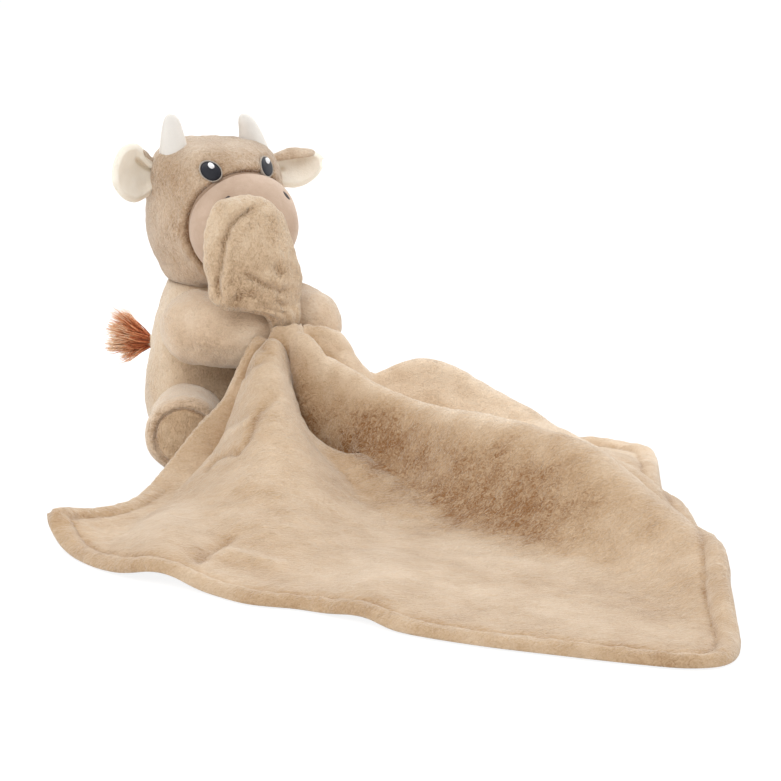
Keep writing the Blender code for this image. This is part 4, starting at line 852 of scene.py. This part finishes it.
def build_arms():
    for name, points in ARMS.items():
        route = route_between(*points, count=24)
        rings = limb_rings(route, np.linspace(ARM_RADIUS, PAW_RADIUS, len(route)), 84, 20)
        middle = points[1]
        seam = bell(rings[..., 2] - middle[2] + 0.0037, 0.0012) * (rings[..., 1] < middle[1] + 0.004) * 0.6
        lumps = bumpy(rings, 0.013, 21) * LUMP + bumpy(rings, 0.0042, 22) * GRAIN_LUMP
        rings = raised(rings, lumps - 0.0005 * seam)
        # Painted shade along the arm's seam; the rest is random tone
        closed_tube(
            name + "_plush_arm", rings, "limb", "torso", tone_and_shade=0.3 * bumpy(rings, 0.014, 23) - 0.2 * seam,
            replaces=(name + "_arm_skin", name + "_arm_filling"), slot="plush_limb", fill=0.75,
        )


def leg_placed(points, side):
    """From a leg that stands on its hip to one that lies on the floor, turned out."""
    heading = Matrix.Rotation(math.radians(side * LEG_SPLAY), 4, "Z")
    lie_down = Matrix.Rotation(math.radians(90), 4, "X")
    place = np.array(Matrix.Translation((side * HIP_OUT, -HIP_FORWARD, LEG_HEIGHT)) @ heading @ lie_down)
    return points @ place[:3, :3].T + place[:3, 3]


def build_legs():
    for name, side in SIDES:
        hip = [math.radians(angle) for angle in (4, 20, 42, 64, 84)]
        profile = [(HIP_RADIUS * math.sin(angle), -HIP_RADIUS * math.cos(angle)) for angle in hip]
        profile += [(LEG_RADIUS * radius, LEG_LONG * share) for share, radius in LEG_SHARES]
        profile += [(FOOT_EDGE, LEG_LONG - 0.0002), (SOLE_RADIUS + 0.0012, LEG_LONG + 0.0006)]
        profile += [(SOLE_RADIUS - 0.0002, LEG_LONG - 0.001), (SOLE_RADIUS - 0.003, LEG_LONG - 0.0016)]
        rings = turned(smooth_route(profile, 110), 96)
        along = rings[..., 2] / LEG_LONG
        lumps = bumpy(rings, 0.014, 25) * 0.0005 + bumpy(rings, 0.0042, 26) * GRAIN_LUMP
        rings = leg_placed(raised(rings, lumps + 0.0003 * bell((along - 0.93) * LEG_LONG, 0.004)), side)
        height = rings[..., 2]
        rings[..., 2] = np.where(height < 0.0014, np.maximum(height * 0.6 + 0.0004, 0), height)
        # Painted shade towards the foot's end, round the seam where the sole is set in; the rest is random
        # tone
        closed_tube(
            name + "_plush_leg", rings, "limb", name + "_leg",
            tone_and_shade=0.3 * bumpy(rings, 0.014, 27) - 0.45 * fade(along, 0.9, 0.09),
            replaces=(name + "_leg_skin", name + "_leg_filling"), slot="plush_limb", fill=0.8,
        )
        share, turn = np.linspace(0.02, 1, 36)[:, None], full_turn(84)[None, :]
        reach = share * (SOLE_RADIUS - 0.0004)
        dome = 0.0016 * (1 - share ** 2) - 0.0012 * fade(share, 0.9, 0.1) ** 2
        points = joined(reach * np.cos(turn), reach * np.sin(turn), LEG_LONG + dome)
        points[..., 2] += bumpy(points, 0.006, 28) * 0.0004 * (1 - share ** 6)
        ring = points[-1:] * (1, 1, 0) + np.array((0, 0, LEG_LONG - PLUSH))
        points = leg_placed(np.concatenate([points, ring]), side)
        # Painted shade towards the sole's rim, in the seam ring; the rest is random tone
        tone_and_shade = 0.3 * bumpy(points[:-1], 0.008, 29) - 0.4 * fade(share, 0.86, 0.14)
        closed_tube(
            name + "_sole_plush", points, "sole", name + "_leg", tone_and_shade=np.concatenate([tone_and_shade, 0 * turn]),
            replaces=(name + "_foot_sole",), slot="plush_sole", fill=0.5,
        )


# Tail
def build_tail():
    share = TAIL_HEIGHT / BODY_TALL
    radius = BODY_RADIUS * np.interp(share, *np.transpose(BODY_SHARES))
    root = np.array((TAIL_ROOT_OUT, math.sqrt(radius ** 2 - TAIL_ROOT_OUT ** 2), TAIL_HEIGHT))
    angle = math.radians(360 - TAIL_HEADING)
    heading = np.array((math.cos(angle), math.sin(angle), 0))
    along = np.linspace(-TAIL_STEM_RADIUS * 0.6, TAIL_STEM_LONG, 24)
    rings = limb_rings(root + along[:, None] * heading, np.full(24, TAIL_STEM_RADIUS), 36, 6)
    rings = raised(rings, bumpy(rings, 0.004, 31) * 0.0004)
    closed_tube(
        "plush_tail", rings, "tail", "tail", tone_and_shade=0.2 * bumpy(rings, 0.006, 32),
        replaces=("tail_stem",), slot="tail_plush", fill=0.7,
    )
    build_tuft(root + heading * (TAIL_STEM_LONG - 0.001), heading)


def build_tuft(start, heading):
    """Loose strands in locks, each a thin three-sided tube that tapers to its end."""
    draw = np.random.default_rng(41)
    side, top = np.cross(heading, (0, 0, 1)), np.array((0, 0, 1))
    verts, faces, tone_and_shade = [], [], []
    lock_turn = np.arange(LOCKS) * 2.4 + draw.uniform(-0.3, 0.3, LOCKS)
    lock_spread = draw.uniform(0.25, 1, LOCKS)
    lock_long = draw.uniform(0.7, 1.08, LOCKS)
    for _ in range(STRANDS):
        lock = draw.integers(LOCKS)
        turn = lock_turn[lock] + draw.normal(0, 0.22)
        spread = min(lock_spread[lock] * draw.uniform(0.7, 1.12), 1)
        long = TUFT_LONG * lock_long[lock] * draw.uniform(0.72, 1.04)
        out = side * math.cos(turn) + top * math.sin(turn)
        begin = start + out * TAIL_STEM_RADIUS * draw.uniform(0.1, 1)
        aim = heading * long + top * 0.003
        aim = aim + (side * 0.85 * math.cos(turn) + top * math.sin(turn)) * TUFT_RADIUS * spread
        sag = draw.uniform(-0.0012, 0.0016)
        waver = draw.normal(0, 0.0008, 3)
        shade = draw.uniform(-0.3, 0.4)
        for step in range(STRAND_STEPS):
            t = step / (STRAND_STEPS - 1)
            centre = begin + aim * t + top * sag * t * t + waver * math.sin(t * 5)
            centre = centre - out * 0.003 * math.sin(math.pi * t) * (0.5 - t)
            width = STRAND_RADIUS * (1 - 0.75 * t ** 2)
            for bend in full_turn(3) + turn:
                verts.append(centre + width * (side * math.cos(bend) + top * math.sin(bend)))
            tone_and_shade += [0.06 + 0.95 * t ** 1.2 + shade] * 3
            if step:
                low, high = len(verts) - 6, len(verts) - 3
                faces += [(low + i, low + (i + 1) % 3, high + (i + 1) % 3, high + i) for i in range(3)]
        last, first = len(verts), len(verts) - 3 * STRAND_STEPS
        faces += [(last - 3, last - 2, last - 1), (first + 2, first + 1, first)]
    make(
        "tail_tuft_pile", np.array(verts), faces, "tuft", "tail", tone_and_shade=np.array(tone_and_shade),
        replaces=("tail_tuft",), slot="rust_pile", fill=0.3,
    )


# Blanket
def on_blanket(rows):
    """Places from shares of the blanket's side, out and forward, and of the gather's height where given."""
    rows = np.array(rows, float)
    up = GATHER[2] * rows[:, 2] if rows.shape[1] > 2 else 0
    return joined(GATHER[0] + BLANKET_SIDE * rows[:, 0], GATHER[1] - BLANKET_SIDE * rows[:, 1], up)


def fold_routes():
    """Crest lines of the folds and of the two edges, with the fold's half width as a fourth column."""
    routes = []
    for fold in FOLDS:
        rows = np.array(fold)
        routes.append(np.concatenate([on_blanket(rows[:, :3]), rows[:, 3:] * BLANKET_SIDE], axis=1))
    for edge in (RIGHT_EDGE, LEFT_EDGE):
        points = np.concatenate([GATHER[None], on_blanket(edge)])
        routes.append(np.concatenate([points, np.full((len(points), 1), EDGE_FOLD_WIDTH)], axis=1))
    return [smooth_route(route, 4 * len(route)) for route in routes]


def fold_height(x, y):
    """Height of the cloth: each fold is a rounded ridge, and the folds merge smoothly."""
    above, below = np.zeros(x.shape), np.zeros(x.shape)
    for route in fold_routes():
        best = np.zeros(x.shape)
        for start, end in zip(route, route[1:]):
            dx, dy, rise, widen = end - start
            mix = clamp(((x - start[0]) * dx + (y - start[1]) * dy) / (dx * dx + dy * dy))
            away = np.hypot(x - start[0] - dx * mix, y - start[1] - dy * mix)
            width = start[3] + widen * mix
            best = np.maximum(best, (start[2] + rise * mix) * np.exp(-((away / width) ** FOLD_POWER)))
        above += best ** FOLD_BLEND_POWER
        below += best ** (FOLD_BLEND_POWER - 1)
    return above / np.maximum(below, 1e-18)


def blanket_plan():
    """Grid of places on the floor plan: rays from the gather to the hem, close together at the edges."""
    rim = np.linspace(0, 0.075, 56, endpoint=False)
    shares = np.concatenate([rim, np.linspace(0.075, 0.925, 250), 1 - rim[::-1]])
    hem = smooth_route(on_blanket(HEM), shares)
    start = GATHER * (1, 1, 0)
    steps, edges = 240, []
    for edge, corner in ((RIGHT_EDGE, hem[0]), (LEFT_EDGE, hem[-1])):
        flat = np.concatenate([start[None], on_blanket(edge) * (1, 1, 0)])
        flat[-1] = corner
        edges.append(smooth_route(flat, steps + 1))
    rows = []
    for turn, target in zip(shares, hem):
        length = np.linalg.norm(target - start)
        first, last = GATHER_RADIUS / length, 1 - 0.017 / length
        inner = first + (last - first) * np.linspace(0, 1, 170) ** 1.3
        along = np.concatenate([inner, np.linspace(last, 1, 23)[1:]])[:, None]
        point = start + (target - start) * along
        for edge, share in zip(edges, (1 - turn, turn)):
            straight = edge[0] + (edge[-1] - edge[0]) * along
            cursor, marks = along[:, 0] * steps, np.arange(steps + 1)
            bent = joined(*(np.interp(cursor, marks, edge[:, axis]) for axis in range(3)))
            point = point + (bent - straight) * share ** EDGE_HOLD_POWER
        rows.append(point)
    plan = np.array(rows)
    relax(plan, 10)
    return plan


def cloth_middle(plan, reach):
    """The plan lifted onto the folds, with lumps, and evened out, most of all near the gather."""
    base = plan.copy()
    height = base[..., 2]
    height[:] = fold_height(plan[..., 0], plan[..., 1])
    lumps = bumpy(plan, 0.045, 51) * 0.0018 + bumpy(plan, 0.018, 52) * 0.0009
    height[:] = np.maximum(height + lumps * clamp(height / 0.012), 0.0002)
    relax(height, ROUNDING_PASSES)
    even = 0.5 * clamp(EVEN_REACH / np.maximum(reach, 0.01)) ** 2
    for _ in range(EVEN_PASSES):
        height[1:-1] += even[1:-1] * ((height[:-2] + height[2:]) / 2 - height[1:-1])
    return base


def build_blanket():
    plan = blanket_plan()
    reach = np.linalg.norm(plan - GATHER * (1, 1, 0), axis=-1)
    base = cloth_middle(plan, reach)
    cut, valley = np.zeros(plan.shape[:2]), np.zeros(plan.shape[:2])
    for path, width, depth in CREASES:
        path, width = np.array(path) * MM, width * MM
        cut += depth * MM * crease(plan, path, width, FLOOR_PLAN)
        valley += np.sign(depth) * crease(plan, path, width * 0.8, FLOOR_PLAN)
    cut *= clamp(base[..., 2] / 0.004 + 0.15)
    outline = np.concatenate([plan[0, ::4], plan[::2, -1], plan[-1, ::-4]])
    beside = to_path(plan, outline, FLOOR_PLAN)[0]
    normals = grid_normals(base)
    normals = normals * np.sign(normals[..., 2].sum())
    waver = bumpy(plan, 0.01, 53) * 0.0006
    rise = np.interp(np.maximum(beside + waver * clamp(beside / 0.004), 0), *np.transpose(HEM_PROFILE) * MM)
    along_right = to_path(plan, plan[0, ::4], FLOOR_PLAN)[0] < 0.02
    near_gather = clamp((reach - np.where(along_right, 0.085, 0.01)) / 0.035)
    plain = CLOTH_THICK * np.sqrt(np.clip(beside / 0.002, 0.08, 1))
    rise = plain + (rise - plain) * near_gather
    pucker = bumpy(base, 0.0055, 54) * 0.0005 * bell(beside - 0.0055, 0.0045) * near_gather
    pile = bumpy(base, 0.0052, 55) * 0.0003
    upper = base + normals * (rise + pucker + pile)[..., None]
    lower = base + normals * (0.0007 * bell(beside, HEM_ROLL))[..., None]
    upper[..., 2] = np.maximum(upper[..., 2] - cut, 0.0012)
    lower[..., 2] = np.maximum(lower[..., 2] - cut, 0)
    stitch = bell(beside - STITCH_LINE * MM, HEM_ROLL) * near_gather
    # Painted shade along the line of stitches, plus random tone
    tone_and_shade = -0.45 * stitch + 0.26 * bumpy(base, 0.028, 56) + 0.15 * bumpy(base, 0.01, 58)
    # Painted shade in the creases, painted highlight on the creases that stand up as ridges
    tone_and_shade -= 0.5 * np.clip(valley, -0.6, 1)
    # Painted shade and painted highlights from the table, each mottled a little
    ruffle = 0.92 + 0.3 * bumpy(base, 0.008, 57)
    for path, width, amount in PAINTED_LIGHT_AND_SHADE:
        tone_and_shade += amount * bell(to_path(plan, np.array(path) * MM, FLOOR_PLAN)[0], width * MM) * ruffle
    return closed_sheet(
        "plush_blanket", upper, lower, "blanket", "torso", np.maximum(tone_and_shade, -1),
        replaces=("blanket_under_panel", "blanket_upper_panel"), slot="blanket_plush",
    )


def build_corner():
    rows = smooth_route((*CORNER_SHARES, (1, -0.26, -0.12, 0.2, 0.02)), 110)
    turn = full_turn(132)[None, :]
    tall, right, left, thick, off = [rows[:, column:column + 1] for column in range(5)]
    out = np.sin(turn)
    across = CORNER_WIDE * ((left + right) + (left - right) * np.cos(turn)) / 2
    arc = across / (CORNER_STAND_OFF + CORNER_THICK / 2)
    radius = CORNER_STAND_OFF + CORNER_THICK * (off + thick * (1 + out) / 2)
    height = GATHER[2] + 2 * PANEL + 3 * GAP + CORNER_TALL * tall
    points = joined(radius * np.sin(arc), -radius * np.cos(arc), height)
    outward = (grid_normals(points, True) * (points - points.mean(axis=1, keepdims=True))).sum(axis=-1).mean()
    front = out > 0
    ruffled = points + 0.0006 * bumpy(points, 0.006, 61)[..., None]
    cut = np.zeros(points.shape[:2])
    for path, width, depth in CORNER_CREASES:
        cut += depth * MM * crease(ruffled, np.array(path) * MM, width * MM, FROM_FRONT) * front
    rim = np.array(CORNER_CREASES[0][0]) * MM
    roll = bell(to_path(points, rim, FROM_FRONT)[0] - 0.0038, 0.0026) * front * 0.0009
    lumps = roll + bumpy(points, 0.012, 62) * 0.0006 + bumpy(points, 0.004, 63) * 0.00034
    neck = fade(tall, 0.12, -0.12)
    pleats = np.cos(turn * 9 + 2 * bumpy(points, 0.02, 64)) * 0.0005 * neck
    points = raised(points, (lumps * (1 - 0.6 * neck) + pleats - cut) * np.sign(outward))
    # Painted shade in the creases and at the gathered neck; the rest is random tone
    tone_and_shade = -230 * np.maximum(cut, 0) + 0.22 * bumpy(points, 0.009, 65) - 0.1 * neck
    # Painted shade in the hollow on the corner's front
    tone_and_shade -= 0.38 * bell(np.linalg.norm((points - CORNER_SHADE) / CORNER_SHADE_SIZE, axis=-1), 1) * front
    return closed_tube(
        "plush_corner", points, "corner", "torso", tone_and_shade=tone_and_shade,
        replaces=("blanket_corner",), slot="blanket_plush",
    )


# Camera, floor and light
def seen_share(tree):
    """1 for the camera's rays and those of gloss and glass, which see a white background, 0 for others."""
    path = tree.nodes.new("ShaderNodeLightPath")
    share = path.outputs["Is Camera Ray"]
    for kind in ("Is Glossy Ray", "Is Transmission Ray"):
        most = tree.nodes.new("ShaderNodeMath")
        most.operation = "MAXIMUM"
        tree.links.new(share, most.inputs[0])
        tree.links.new(path.outputs[kind], most.inputs[1])
        share = most.outputs[0]
    return share


def build_camera():
    azimuth, elevation = math.radians(CAMERA_AZIMUTH), math.radians(CAMERA_ELEVATION)
    level = math.cos(elevation)
    back = Vector((math.sin(azimuth) * level, -math.cos(azimuth) * level, math.sin(elevation)))
    right = Vector((math.cos(azimuth), math.sin(azimuth), 0))
    data = bpy.data.cameras.new("camera")
    data.sensor_width, data.lens = CAMERA_SENSOR, CAMERA_LENS
    data.clip_start, data.clip_end = 0.05, 50
    camera = add_object("camera", data)
    turn = Matrix((right, back.cross(right), back)).transposed().to_4x4()
    camera.matrix_world = Matrix.Translation(CAMERA_PLACE) @ turn
    bpy.context.scene.camera = camera


def build_floor():
    look = bpy.data.materials.new("white_floor")
    look.use_nodes = True
    tree = look.node_tree
    tree.nodes.clear()
    result, mixer, matt, glow = [tree.nodes.new("ShaderNode" + kind) for kind in (
        "OutputMaterial", "MixShader", "BsdfDiffuse", "Emission",
    )]
    matt.inputs["Color"].default_value = (0.93, 0.93, 0.93, 1)
    glow.inputs["Color"].default_value = (1, 1, 1, 1)
    glow.inputs["Strength"].default_value = 1.12
    seen = seen_share(tree)
    part = tree.nodes.new("ShaderNodeMath")
    part.operation = "MULTIPLY"
    part.inputs[1].default_value = 0.8
    for source, target in (
        (seen, part.inputs[0]), (part.outputs[0], mixer.inputs["Fac"]),
        (matt.outputs["BSDF"], mixer.inputs[1]), (glow.outputs["Emission"], mixer.inputs[2]),
        (mixer.outputs["Shader"], result.inputs["Surface"]),
    ):
        tree.links.new(source, target)
    mesh = bpy.data.meshes.new("floor")
    low, high = -FLOOR_REACH, FLOOR_REACH
    corners = [(x, y, FLOOR_HEIGHT) for x, y in ((low, low), (high, low), (high, high), (low, high))]
    mesh.from_pydata(corners, [], [(0, 1, 2, 3)])
    mesh.materials.append(look)
    add_object("floor", mesh)


def build_light():
    world = bpy.data.worlds.new("studio")
    bpy.context.scene.world = world
    world.use_nodes = True
    tree = world.node_tree
    ground = tree.nodes["Background"]
    ground.inputs["Color"].default_value = (1, 1, 1, 1)
    seen = seen_share(tree)
    level = tree.nodes.new("ShaderNodeMapRange")
    level.inputs["To Min"].default_value, level.inputs["To Max"].default_value = 0.55, 1
    tree.links.new(seen, level.inputs["Value"])
    tree.links.new(level.outputs["Result"], ground.inputs["Strength"])
    for name, place, aim, size, power in (
        ("key", (-1, -1, 1.6), (0.03, -0.12, 0.05), 1.4, 18.5),
        ("fill", (1.7, -0.3, 1), (0.05, -0.15, 0.05), 1.6, 18),
        ("top", (0.3, 1.2, 1.3), (0.05, -0.15, 0.05), 1.6, 24),
        ("side", (-1.6, 0.5, 0.9), (0, -0.05, 0.08), 1.2, 5),
    ):
        lamp = bpy.data.lights.new(name, "AREA")
        lamp.shape, lamp.size, lamp.energy = "SQUARE", size, power
        light = add_object(name, lamp)
        light.location = place
        light.rotation_euler = (Vector(aim) - Vector(place)).to_track_quat("-Z", "Y").to_euler()
    bpy.context.scene.view_settings.view_transform = "Standard"


build_body()
build_head()
build_muzzle()
build_face()
build_ear("right", -1, RIGHT_EAR_ROOT_HEIGHT, RIGHT_EAR_HALF_TALL)
build_ear("left", 1, LEFT_EAR_ROOT_HEIGHT, LEFT_EAR_HALF_TALL)
build_horns()
build_arms()
build_legs()
build_tail()
BLANKET = build_blanket()
CORNER = build_corner()
build_camera()
build_floor()
build_light()
